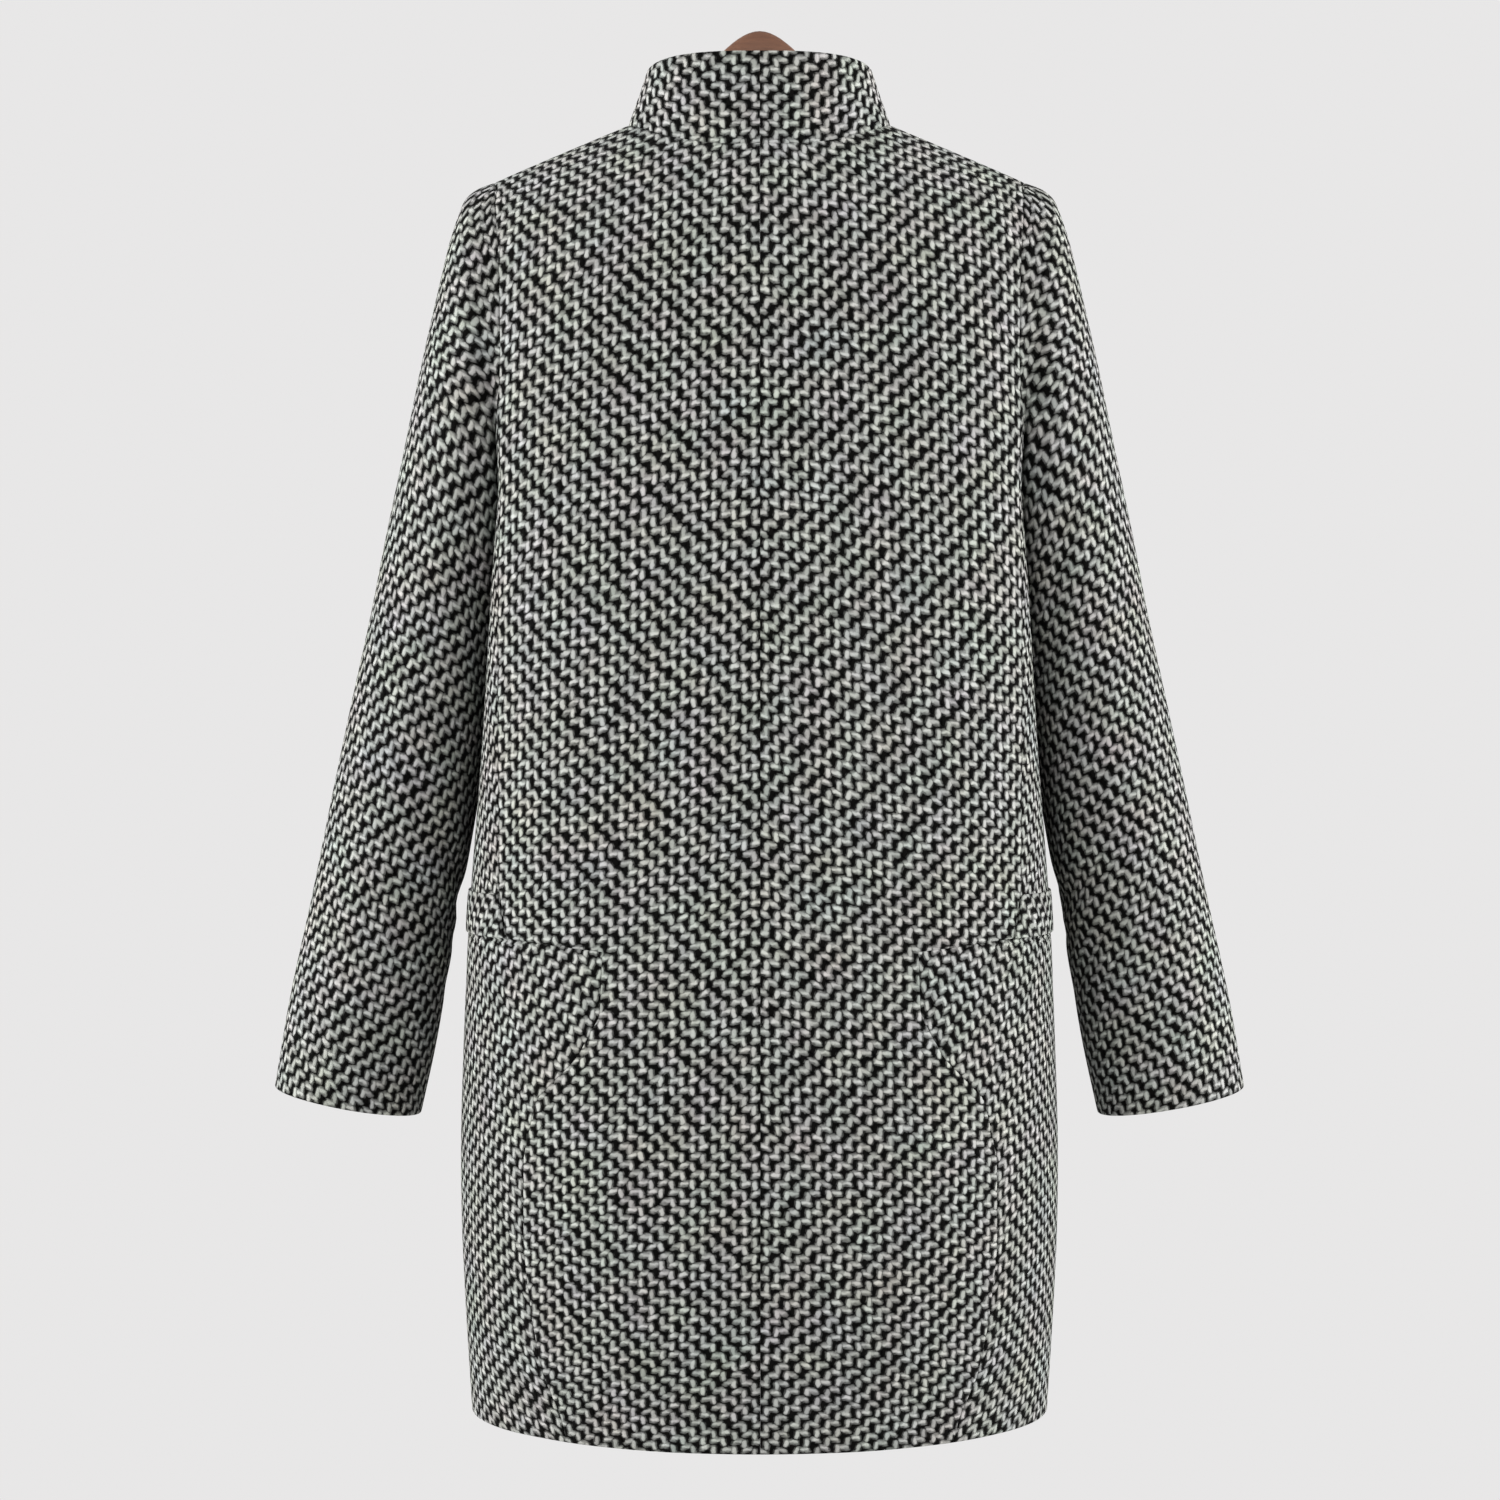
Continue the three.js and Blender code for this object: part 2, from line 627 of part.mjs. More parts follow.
// One half of the collar, from the centre back round to the centre front
function collarTop(outer) {
  const back = outer.y >= 0;
  const deep = back ? COLLAR_BACK : COLLAR_FRONT;
  const neckDepth = back ? COLLAR_BACK : -FRONT_NECK_Z / 2;
  const turn = Math.atan2(Math.abs(outer.y) / neckDepth, Math.abs(outer.x) / NECK_POINT_X);
  const side = Math.abs(Math.cos(turn) / COLLAR_HALF_WIDTH) ** COLLAR_SQUARE;
  const reach = (side + Math.abs(Math.sin(turn) / deep) ** COLLAR_SQUARE) ** (-1 / COLLAR_SQUARE);
  const drop = back ? 0 : smoothStep(0, QUARTER_TURN, turn) * (COLLAR_TOP_Z - COLLAR_FRONT_TOP_Z);
  const y = (back ? 1 : -1) * reach * Math.sin(turn);
  return new THREE.Vector3(reach * Math.cos(turn), y, COLLAR_TOP_Z - drop);
}

function collarGrid(back, front) {
  const backEdge = back.neckline;
  const frontEdge = front.neckline.slice(0, -1).reverse();
  const edge = [...backEdge, ...frontEdge];
  edge[0].outer.x = 0;
  edge[edge.length - 1].outer.x = 0;
  const first = startRing(edge, false, CLOTH);
  const grid = COLLAR_ROWS.map((share, r) => {
    if (r === 0) return first;
    return first.map((place) => {
      const outer = place.outer.clone().lerp(collarTop(place.outer), share);
      return node(outer, new THREE.Vector3(), COLLAR_CLOTH);
    });
  });
  addNormals(grid, false);
  for (const place of grid.slice(1).flat()) {
    const outward = place.outer.clone().setZ(0);
    if (place.normal.dot(outward) < 0) place.normal.negate();
  }
  const last = edge.length - 1;
  for (const row of grid)
    for (const end of [row[0], row[last]]) {
      end.normal.x = 0;
      end.normal.normalize();
    }
  drawInColumn(grid, 0, 1, SEAM_GAP / 2);
  drawInColumn(grid, last, last - 1, COLLAR_FRONT_GAP / 2);
  return grid;
}

// The pocket's welt lies on the side panel, from seam to seam, so it takes its nodes from there
function weltGrid(side) {
  return side.grid.slice(WELT_LOW, WELT_HIGH + 1).map((row) =>
    row.map((place) => {
      const outer = place.outer.clone().addScaledVector(place.normal, SEAM_GAP + WELT_CLOTH);
      return node(outer, place.normal.clone(), WELT_CLOTH);
    }),
  );
}

// A closed solid from a list of points and faces, turned inside out if its faces point inwards
function solid(positions, faces) {
  let volume = 0;
  const corner = [new THREE.Vector3(), new THREE.Vector3(), new THREE.Vector3()];
  for (let i = 0; i < faces.length; i += 3) {
    corner.forEach((point, k) => point.fromArray(positions, faces[i + k] * 3));
    volume += corner[0].dot(corner[1].clone().cross(corner[2]));
  }
  if (volume < 0) faces.reverse();
  const geometry = new THREE.BufferGeometry();
  geometry.setAttribute("position", new THREE.Float32BufferAttribute(positions, 3));
  geometry.setIndex(faces);
  geometry.computeVertexNormals();
  return geometry;
}

// A wall of cloth over a grid of nodes. A closed wall joins its last column to its first.
function wall(grid, closed = false) {
  const columns = grid[0].length;
  const top = grid.length - 1;
  const right = columns - 1;
  const cells = closed ? columns : right;
  const positions = [];
  for (const place of grid.flat()) positions.push(...place.outer.toArray());
  for (const place of grid.flat()) {
    const inner = place.outer.clone().addScaledVector(place.normal, -place.cloth);
    positions.push(...inner.toArray());
  }
  const faces = [];
  const outer = (r, c) => r * columns + (c % columns);
  const inner = (r, c) => grid.length * columns + outer(r, c);
  const quad = (a, b, c, d) => faces.push(a, b, c, a, c, d);
  for (let r = 0; r < top; r++)
    for (let c = 0; c < cells; c++) {
      quad(outer(r, c), outer(r, c + 1), outer(r + 1, c + 1), outer(r + 1, c));
      quad(inner(r, c), inner(r + 1, c), inner(r + 1, c + 1), inner(r, c + 1));
    }
  for (let c = 0; c < cells; c++) {
    quad(outer(0, c), inner(0, c), inner(0, c + 1), outer(0, c + 1));
    quad(outer(top, c), outer(top, c + 1), inner(top, c + 1), inner(top, c));
  }
  if (!closed)
    for (let r = 0; r < top; r++) {
      quad(outer(r, 0), outer(r + 1, 0), inner(r + 1, 0), inner(r, 0));
      quad(outer(r + 1, right), outer(r, right), inner(r, right), inner(r + 1, right));
    }
  return solid(positions, faces);
}

// The same piece for the wearer's right side
function mirrored(grid) {
  return grid.map((row) =>
    row.map((place) => {
      const flip = (v) => v.clone().multiply(new THREE.Vector3(-1, 1, 1));
      return node(flip(place.outer), flip(place.normal), place.cloth);
    }),
  );
}

// Hanger: a straight wooden bar with sloping arms and a hump in the middle
function hangerTopZ(x) {
  const arm = ridgeZ(Math.hypot(x, HUMP_SOFTNESS)) - HANGER_SEAT;
  const middle = ridgeZ(HUMP_SOFTNESS) - HANGER_SEAT;
  const share = Math.min(1, Math.abs(x) / HUMP_HALF_WIDTH);
  const hump = (1 + Math.cos(share * 2 * QUARTER_TURN)) / 2;
  return { arm, top: arm - middle * hump };
}

function hangerGeometry() {
  const positions = [];
  const faces = [];
  for (let i = 0; i <= HANGER_STEPS; i++) {
    const x = HANGER_REACH * Math.sin(lerp(-1, 1, i / HANGER_STEPS) * QUARTER_TURN);
    const { arm, top } = hangerTopZ(x);
    const outward = Math.abs(x) / HANGER_REACH;
    const rounding = Math.sqrt(1 - smoothStep(HANGER_TIP_START, HANGER_TIP_END, outward) ** 2);
    const bottom = arm - lerp(HANGER_HEIGHT, HANGER_TIP_HEIGHT, outward ** 2) * rounding;
    for (let k = 0; k < HANGER_SIDES; k++) {
      const turn = (k / HANGER_SIDES) * FULL_TURN;
      const soft = (value) => Math.sign(value) * Math.abs(value) ** HANGER_SQUARING;
      const y = HANGER_HALF_THICKNESS * rounding * soft(Math.cos(turn));
      const z = lerp(bottom, top, (1 + soft(Math.sin(turn))) / 2);
      positions.push(x, y, z);
    }
  }
  const ringAt = (i, k) => i * HANGER_SIDES + (k % HANGER_SIDES);
  for (let i = 0; i < HANGER_STEPS; i++)
    for (let k = 0; k < HANGER_SIDES; k++) {
      faces.push(ringAt(i, k), ringAt(i, k + 1), ringAt(i + 1, k + 1));
      faces.push(ringAt(i, k), ringAt(i + 1, k + 1), ringAt(i + 1, k));
    }
  for (let k = 1; k < HANGER_SIDES - 1; k++) {
    faces.push(ringAt(0, 0), ringAt(0, k + 1), ringAt(0, k));
    faces.push(ringAt(HANGER_STEPS, 0), ringAt(HANGER_STEPS, k), ringAt(HANGER_STEPS, k + 1));
  }
  return solid(positions, faces);
}

// A plain round button with a raised rim, its back on the plane through its origin
function buttonGeometry() {
  const floor = BUTTON_THICKNESS - BUTTON_HOLLOW;
  const profile = [
    new THREE.Vector2(0, 0),
    new THREE.Vector2(BUTTON_RADIUS - BUTTON_BEVEL, 0),
    new THREE.Vector2(BUTTON_RADIUS, BUTTON_BELLY),
    new THREE.Vector2(BUTTON_RADIUS - BUTTON_BEVEL, BUTTON_THICKNESS),
    new THREE.Vector2(BUTTON_RIM, BUTTON_THICKNESS),
    new THREE.Vector2(BUTTON_RIM - BUTTON_SLOPE, floor),
    new THREE.Vector2(0, floor),
  ];
  return new THREE.LatheGeometry(profile, BUTTON_SIDES);
}

const coat = new THREE.Group();

function addPiece(name, geometry, material) {
  const mesh = new THREE.Mesh(geometry, material);
  mesh.name = name;
  coat.add(mesh);
  return mesh;
}

const back = backGrid();
const side = sideGrid();
const underFront = frontGrid(true);
const overFront = frontGrid(false);

addPiece("back_left", wall(back.grid), tweed);
addPiece("back_right", wall(mirrored(back.grid)), tweed);
addPiece("side_left", wall(side.grid), tweed);
addPiece("side_right", wall(mirrored(side.grid)), tweed);
addPiece("front_left", wall(underFront.grid), tweed);
addPiece("front_right", wall(mirrored(overFront.grid)), tweed);

const sleeve = sleeveGrid(back, side, overFront);
addPiece("sleeve_left", wall(sleeve, true), tweed);
addPiece("sleeve_right", wall(mirrored(sleeve), true), tweed);

addPiece("collar_left", wall(collarGrid(back, underFront)), tweed);
addPiece("collar_right", wall(mirrored(collarGrid(back, overFront))), tweed);

const welt = weltGrid(side);
addPiece("welt_left", wall(welt), tweed);
addPiece("welt_right", wall(mirrored(welt)), tweed);

for (let i = 0; i < BUTTON_COUNT; i++) {
  const place = bodyNode("front", BUTTON_TOP_Z - i * BUTTON_SPACING, QUARTER_TURN);
  const button = addPiece("button_" + (i + 1), buttonGeometry(), horn);
  button.quaternion.setFromUnitVectors(new THREE.Vector3(0, 1, 0), place.normal);
  button.position.copy(place.outer).addScaledVector(place.normal, SEAM_GAP);
}

addPiece("hanger", hangerGeometry(), wood);

export default coat;
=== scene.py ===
"""Looks of a long tweed coat on a wooden hanger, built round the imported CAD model.

The cloth is remade as thin shells on the solids' own form, from the same named sizes, with finer
grids, rounded edges, soft creases and a charted weave. Sizes in the tables are millimetres.
"""

import math

import bmesh
import bpy
import numpy as np
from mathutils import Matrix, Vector


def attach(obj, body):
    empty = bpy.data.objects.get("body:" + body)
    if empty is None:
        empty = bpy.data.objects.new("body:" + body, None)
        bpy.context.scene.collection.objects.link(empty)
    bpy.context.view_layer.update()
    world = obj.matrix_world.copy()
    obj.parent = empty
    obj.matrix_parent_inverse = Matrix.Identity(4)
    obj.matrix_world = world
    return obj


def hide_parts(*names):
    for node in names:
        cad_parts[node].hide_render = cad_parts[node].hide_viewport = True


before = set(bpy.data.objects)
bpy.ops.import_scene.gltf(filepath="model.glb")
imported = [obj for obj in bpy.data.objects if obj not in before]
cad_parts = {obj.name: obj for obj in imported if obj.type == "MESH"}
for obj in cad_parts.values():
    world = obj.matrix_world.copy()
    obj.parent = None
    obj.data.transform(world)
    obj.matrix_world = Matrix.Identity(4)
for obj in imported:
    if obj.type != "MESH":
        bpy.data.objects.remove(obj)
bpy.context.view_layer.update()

METRES = 0.001

# The cut's own sizes
CLOTH = 3
COLLAR_CLOTH = 4
WELT_CLOTH = 1.6
SEAM_GAP = 0.3
HEM_Z = -921
ARMPIT_Z = -315
NAPE_Z = -89.5
FRONT_NECK_Z = -140
NECK_POINT_X = 88
NECK_POINT_Z = -64.3
SHOULDER_TIP_X = 180
SHOULDER_SLOPE = 0.42
LAP = 30
RIDGE_ROUND = 12
DRAPE = 45
QUARTER_TURN = math.pi / 2

SECTIONS = {
    "z": (HEM_Z, -860, -800, -740, -680, -620, -568, -526, -480, -435, -390, -352, ARMPIT_Z,
          -270, -220, -160, -103, -60),
    "width": (192, 195, 197, 197, 195.5, 193.5, 190.5, 188, 186, 184.5, 183, 181.5, 180,
              180.5, 182, 185.5, 193, 200),
    "back": (119, 136, 146, 151, 152, 148, 141, 135, 128, 122, 116, 111, 106, 101, 95, 88, 80, 74),
    "front": (108, 116, 122, 125, 126, 124, 120, 116, 112, 108, 104, 101, 98, 94, 89, 83, 76, 70),
    "square": (2, 2.2, 2.3, 2.4, 2.5, 2.65, 2.8, 3, 3.15, 3.3, 3.45, 3.55, 3.6, 3.6, 3.5, 3.4,
               3.3, 3.2),
    "hollow": (0, 0, 0, 0, 0, 0, 0, 2.5, 8, 14, 19.5, 23.5, 27, 14, 3, 0, 0, 0),
}
HOLLOW_SPREAD = 45
HOLLOW_POWER = 4
BACK_SEAM = {
    "z": (HEM_Z, -904, -877, -843, -796, -736, -699, -672, -645, -606, -600, -568, -475, -408,
          -259),
    "across": (0.64, 0.655, 0.71, 0.739, 0.761, 0.755, 0.713, 0.582, 0.508, 0.505, 0.831, 0.871,
               0.901, 0.919, 0.9535),
}
FRONT_SEAM = {"z": (HEM_Z, -600, -400, -259), "across": (0.86, 0.9, 0.93, 0.9535)}
SEAM_TOP_Z = -259
POCKET_LOW_Z = -600
POCKET_HIGH_Z = -573
JOG_Z = -606
LEVEL_TOP = -430
ARMHOLE_RATIO = 0.66
ARMHOLE_TURN = 0.45
ARMHOLE_CROWDING = 1.8
ARMHOLE_PASSES = 6
NECKLINE_POWER = 2.5
NECK_CELLS = 7
CENTRE_CELLS = 5
SIDE_CELLS = 8

SLEEVE_RINGS = {
    "outX": (180, 190.5, 197.5, 202, 207, 212, 219, 227, 237.5, 248.8, 260.2, 273.5, 287, 300.5,
             315.3, 326.7),
    "outZ": (-102.9, -107, -113.5, -125, -142, -164, -194, -230, -281, -334, -392, -452, -514,
             -578, -644, -708),
    "inX": (153, 156.5, 160, 161.5, 162.3, 163, 164.5, 167, 170.5, 176.5, 184, 192.5, 201.5,
            210.2, 218.6, 228.8),
    "inZ": (-315, -311.5, -314, -321, -330, -340, -353, -371, -400, -440, -485, -535, -585, -634,
            -681, -727),
    "deep": (56, 54.5, 56, 58.5, 61, 62.5, 64, 63.5, 62.5, 61, 58.5, 56, 53, 50, 47.5, 45),
    "forward": (0, 0, 0, 0, 0, 0, 1, 1, 2, 3, 4, 6, 8, 10, 12, 14),
}
ARMHOLE_FADE = 6
COLLAR_HALF_WIDTH = 75
COLLAR_BACK = 62
COLLAR_FRONT = 66
COLLAR_SQUARE = 2.6
COLLAR_TOP_Z = -29.5
COLLAR_FRONT_TOP_Z = -86
COLLAR_FRONT_GAP = 2
LAP_GAP = 0.8
LAP_EASE_END = 75

BUTTON_TOP_Z = -165
BUTTON_SPACING = 120
BUTTON_COUNT = 5

HANGER_REACH = 172
HANGER_HALF_THICKNESS = 6.5
HANGER_SEAT = 3.9
HANGER_HEIGHT = 22
HANGER_TIP_HEIGHT = 15
HUMP_HALF_WIDTH = 80
HUMP_SOFTNESS = 15
HANGER_TIP_START = 0.93
HANGER_TIP_END = 1.04
HANGER_SQUARING = 0.75

# How much finer the shells are than the solids, and the shells' own counts
FINER = 4
LEVEL_STEP = 4.6
BACK_COLUMNS = 46
FRONT_COLUMNS = 54
RINGS_FINER = 9
COLLAR_ROWS = 16
EDGE_SHARES = (0.0022, 0.0065)
EDGE_START = 0.5
EDGE_ROUND = 1.3
SEAM_DIP = 0.6
SEAM_CLEAR = 0.04
CUFF_STEPS = (0.06, 0.02, 0.007, 0)
COLLAR_TOP_SHARES = (0.965, 0.99)
TINY = 1e-9


def lerp(low, high, share):
    return low + (high - low) * share


def smooth_step(low, high, value):
    share = np.clip((value - low) / (high - low), 0, 1)
    return share * share * (3 - 2 * share)


def steps_over(values, closed=False):
    """From the entry before each one to the entry after it, both of which are itself at an end."""
    if closed:
        return np.roll(values, -1, 0) - np.roll(values, 1, 0)
    padded = np.concatenate([values[:1], values, values[-1:]])
    return padded[2:] - padded[:-2]


def curve_through(keys, values):
    """A smooth curve through a table's column, as a function of its key column."""
    keys, values = np.array(keys, float), np.array(values, float)
    slopes = steps_over(values) / steps_over(keys)

    def at(key):
        key = np.clip(key, keys[0], keys[-1])
        high = np.clip(np.searchsorted(keys, key), 1, len(keys) - 1)
        low = high - 1
        span = keys[high] - keys[low]
        t = (key - keys[low]) / span
        bend = t * (1 - t) ** 2 * slopes[low] - t * t * (1 - t) * slopes[high]
        return lerp(values[low], values[high], t * t * (3 - 2 * t)) + span * bend

    return at


body = {name: curve_through(SECTIONS["z"], column) for name, column in SECTIONS.items()}
OTHER_FACE = {"back": "front", "front": "back"}
FACE_SIGN = {"back": 1, "front": -1}


def seam_across(face, z):
    table = BACK_SEAM if face == "back" else FRONT_SEAM
    return np.interp(z, table["z"], table["across"])


def ridge_z(x):
    return NECK_POINT_Z - SHOULDER_SLOPE * (np.abs(x) - NECK_POINT_X)


TIP_Z = ridge_z(SHOULDER_TIP_X)


def fullness(x, z):
    drop = np.maximum(0, ridge_z(x) - z)
    return 1 - np.exp(-np.sqrt(drop * drop + 2 * RIDGE_ROUND * drop) / DRAPE)


def rounded_reach(angle, half, deep, power):
    """How far a section between an ellipse and a box reaches from its middle, at an angle."""
    side = np.abs(np.cos(angle) / half) ** power
    return (side + np.abs(np.sin(angle) / deep) ** power) ** (-1 / power)


def rounded_height(share, power):
    """How high such a section is, as a share, at a share of its half width."""
    return np.maximum(0, 1 - share**power) ** (1 / power)


def face_point(face, z, angle):
    """A point of the body's outer face. The angle is 90 degrees at the centre, 0 at the side."""
    half = body["width"](z)
    reach = rounded_reach(angle, half, body[face](z), body["square"](z))
    across = reach * np.cos(angle)
    y = reach * np.sin(angle) * fullness(across, z)
    press = body["hollow"](z) * np.exp(-((y / HOLLOW_SPREAD) ** 2)) * (across / half) ** HOLLOW_POWER
    return np.stack([across - press, FACE_SIGN[face] * y, z + 0 * y], -1)


def any_point(face, z, angle):
    """As face_point, for angles that pass the side seam line or the centre too."""
    folded = np.where(angle > QUARTER_TURN, math.pi - angle, np.abs(angle))
    here, there = face_point(face, z, folded), face_point(OTHER_FACE[face], z, folded)
    point = np.where((angle < 0)[..., None], there, here)
    point[..., 0] *= np.where(angle > QUARTER_TURN, -1, 1)
    return point


def unit(vectors):
    return vectors / np.maximum(np.linalg.norm(vectors, axis=-1, keepdims=True), TINY)


def lengths_along(points, axis=0):
    """The distance run so far, along one axis of a row or grid of points."""
    steps = np.linalg.norm(np.diff(points, axis=axis), axis=-1)
    return np.insert(steps.cumsum(axis), 0, 0, axis)


# Steps that give the way out of the cloth
ANGLE_STEP = 0.004
HEIGHT_STEP = 0.5
ALL = slice(None)


def body_nodes(face, z, angle):
    """Points of the outer face and the way out of the cloth there."""
    z, angle = np.broadcast_arrays(np.asarray(z, float), np.asarray(angle, float))
    around = any_point(face, z, angle - ANGLE_STEP) - any_point(face, z, angle + ANGLE_STEP)
    up = any_point(face, z + HEIGHT_STEP, angle) - any_point(face, z - HEIGHT_STEP, angle)
    normal = unit(np.cross(around, up)) * -FACE_SIGN[face]
    return any_point(face, z, angle), normal


def angle_across(face, z, across):
    ratio = rounded_height(across / body["width"](z), body["square"](z))
    return np.arctan2(body[face](z) * ratio, across)


def nodes_across(face, z, across):
    angle = angle_across(face, z, np.abs(across))
    return body_nodes(face, z, np.where(across < 0, math.pi - angle, angle))


QUARTER_STEPS = 90
QUARTER_ANGLES = np.linspace(QUARTER_TURN, 0, QUARTER_STEPS + 1)


def quarter_lengths(face, z):
    """Distances along a quarter of the section at one height, from the centre to the side."""
    return lengths_along(face_point(face, np.full(QUARTER_STEPS + 1, float(z)), QUARTER_ANGLES))


def angle_at(lengths, distance):
    return np.interp(distance, lengths, QUARTER_ANGLES)


def seam_distance(face, z, lengths):
    across = seam_across(face, z) * body["width"](z)
    return np.interp(-angle_across(face, z, across), -QUARTER_ANGLES, lengths)


def edged(count):
    """Even shares from 0 to 1 with two more close to each end, for the rounded edges."""
    inner = np.linspace(EDGE_SHARES[1], 1 - EDGE_SHARES[1], count - 3)
    ends = [0, EDGE_SHARES[0]]
    return np.concatenate([ends, inner, [1 - end for end in reversed(ends)]])


def steps_to(count):
    """Even shares up to 1, without 0."""
    return np.arange(1, count + 1) / count


def body_levels():
    """Row heights of the body panels below the armhole, close together at the hem and the jog."""
    stops = (HEM_Z, HEM_Z + EDGE_START, HEM_Z + EDGE_ROUND, JOG_Z, POCKET_LOW_Z, POCKET_HIGH_Z,
             SEAM_TOP_Z)
    levels = [HEM_Z]
    for low, high in zip(stops, stops[1:]):
        count = max(1, math.ceil((high - low) / LEVEL_STEP))
        levels.extend(lerp(low, high, share) for share in steps_to(count))
    return np.array(levels)


LEVELS = body_levels()
UPPER_ROWS = (NECK_CELLS + CENTRE_CELLS) * FINER
NECK_TURNS = steps_to(NECK_CELLS * FINER) * QUARTER_TURN


def armhole_ratio(height):
    closing = 1 - np.minimum(1, height / ARMHOLE_TURN)
    return ARMHOLE_RATIO * np.sqrt(1 - closing**2)


def armhole_height(ratio):
    part = np.minimum(1, ratio / ARMHOLE_RATIO)
    return ARMHOLE_TURN * (1 - np.sqrt(1 - part**2))


def armhole_places():
    """Heights and distances from the centre, from the top of the side seam to the shoulder tip."""
    start = (SEAM_TOP_Z - ARMPIT_Z) / (TIP_Z - ARMPIT_Z)
    height = lerp(start, 1, 1 - (1 - steps_to(UPPER_ROWS)) ** ARMHOLE_CROWDING)
    z = lerp(ARMPIT_Z, TIP_Z, height)
    return z, body["width"](z) * rounded_height(armhole_ratio(height), body["square"](z))


def back_inner_places():
    centre = steps_to(CENTRE_CELLS * FINER)
    across = NECK_POINT_X * np.sin(NECK_TURNS)
    rise = lerp(NAPE_Z, NECK_POINT_Z, (across / NECK_POINT_X) ** NECKLINE_POWER)
    z = np.concatenate([lerp(SEAM_TOP_Z, NAPE_Z, centre), rise])
    return z, np.concatenate([0 * centre, across])


def front_inner_places():
    edge, top = steps_to((CENTRE_CELLS - 1) * FINER), steps_to(FINER)
    z = np.concatenate([
        lerp(SEAM_TOP_Z, FRONT_NECK_Z, edge),
        FRONT_NECK_Z + 0 * top,
        lerp(NECK_POINT_Z, FRONT_NECK_Z, np.cos(NECK_TURNS)),
    ])
    across = np.concatenate([0 * edge - LAP, lerp(-LAP, 0, top), NECK_POINT_X * np.sin(NECK_TURNS)])
    return z, across


def gathered(rows, join=np.array):
    """One array for each of the parts that every row has."""
    return [join(part) for part in zip(*rows)]


def lower_rows(face, lap, shares):
    rows = []
    for z in LEVELS:
        lengths = quarter_lengths(face, z)
        distance = lerp(-lap, seam_distance(face, z, lengths), shares)
        angle = angle_at(lengths, np.abs(distance))
        rows.append(body_nodes(face, z, np.where(distance < 0, math.pi - angle, angle)))
    return gathered(rows)


def upper_rows(face, inner, shares):
    z, across = (lerp(near[:, None], far[:, None], shares[None, :])
                 for near, far in zip(inner, armhole_places()))
    points, normals = nodes_across(face, z[:-1], across[:-1])
    x = lerp(NECK_POINT_X, SHOULDER_TIP_X, shares)
    ridge = np.stack([x, 0 * x, ridge_z(x)], -1)
    up = unit(np.array([SHOULDER_SLOPE, 0, 1.0])) + 0 * ridge
    return np.concatenate([points, ridge[None]]), np.concatenate([normals, up[None]])


def draw_in(points, normals, edge, beside, gap=SEAM_CLEAR / 2):
    """Moves an edge of a grid into the piece, along the cloth, to leave a gap at the seam."""
    line = points[edge]
    way = unit(np.cross(steps_over(line), normals[edge]))
    side = np.sign(np.sum(way * (points[beside] - line), -1, keepdims=True))
    points[edge] = line + way * side * gap


def stand_straight(normals, edge):
    """Turns the way out at a mirrored edge square to the mirror."""
    normals[(*edge, 0)] = 0
    normals[edge] = unit(normals[edge])


def panel(face, lap, inner, count):
    """A back or front from its centre edge to its side seam and armhole, and up to the ridge."""
    shares = edged(count)
    low, low_out = lower_rows(face, lap, shares)
    last = low[-1]
    high, high_out = upper_rows(face, inner, (last[:, 0] + lap) / (last[-1, 0] + lap))
    return np.concatenate([low, high]), np.concatenate([low_out, high_out])


def panel_edges(points, normals):
    neck = slice(len(points) - 1 - NECK_CELLS * FINER, None)
    arm = slice(len(LEVELS) - 1, None)
    places = {"neckline": (neck, 0), "armhole": (arm, -1)}
    return {name: (points[at].copy(), normals[at].copy()) for name, at in places.items()}


def draw_in_seams(points, normals):
    seam = slice(0, len(LEVELS))
    draw_in(points, normals, (seam, -1), (seam, -2))
    draw_in(points, normals, (-1, ALL), (-2, ALL))


def back_panel():
    points, normals = panel("back", 0, back_inner_places(), BACK_COLUMNS)
    edges = panel_edges(points, normals)
    centre = slice(0, len(LEVELS) + CENTRE_CELLS * FINER)
    stand_straight(normals, (centre, 0))
    draw_in(points, normals, (centre, 0), (centre, 1))
    draw_in_seams(points, normals)
    return points, normals, edges


def front_panel(under):
    points, normals = panel("front", LAP, front_inner_places(), FRONT_COLUMNS)
    if under:
        depth = 1 - smooth_step(LAP, LAP_EASE_END, points[..., :1])
        points = points - normals * depth * (CLOTH + LAP_GAP)
    edges = panel_edges(points, normals)
    draw_in_seams(points, normals)
    return points, normals, edges


def side_places(z, shares):
    """Angles, negative on the front, and distances past the side line, at one height."""
    back, front = quarter_lengths("back", z), quarter_lengths("front", z)
    back_seam = seam_distance("back", z, back)
    back_part = back[-1] - back_seam
    distance = shares * (back_part + front[-1] - seam_distance("front", z, front))
    past = distance - back_part
    front_angle = angle_at(front, front[-1] - np.maximum(past, 0))
    back_angle = angle_at(back, np.minimum(back_seam + distance, back[-1]))
    return np.where(past > 0, -front_angle, back_angle), past


def side_top_z(share):
    z = float(ARMPIT_Z)
    for _ in range(ARMHOLE_PASSES):
        angle = float(side_places(z, np.array([share]))[0][0])
        deep = body["front" if angle < 0 else "back"](z)
        reach = rounded_reach(angle, body["width"](z), deep, body["square"](z))
        z = float(lerp(ARMPIT_Z, TIP_Z, armhole_height(reach * np.sin(abs(angle)) / deep)))
    return z


def side_nodes(z, shares):
    """Points, ways out and distances past the side line, at one height of the side panel."""
    angle, past = side_places(z, shares)
    return *body_nodes("back", z, angle), past


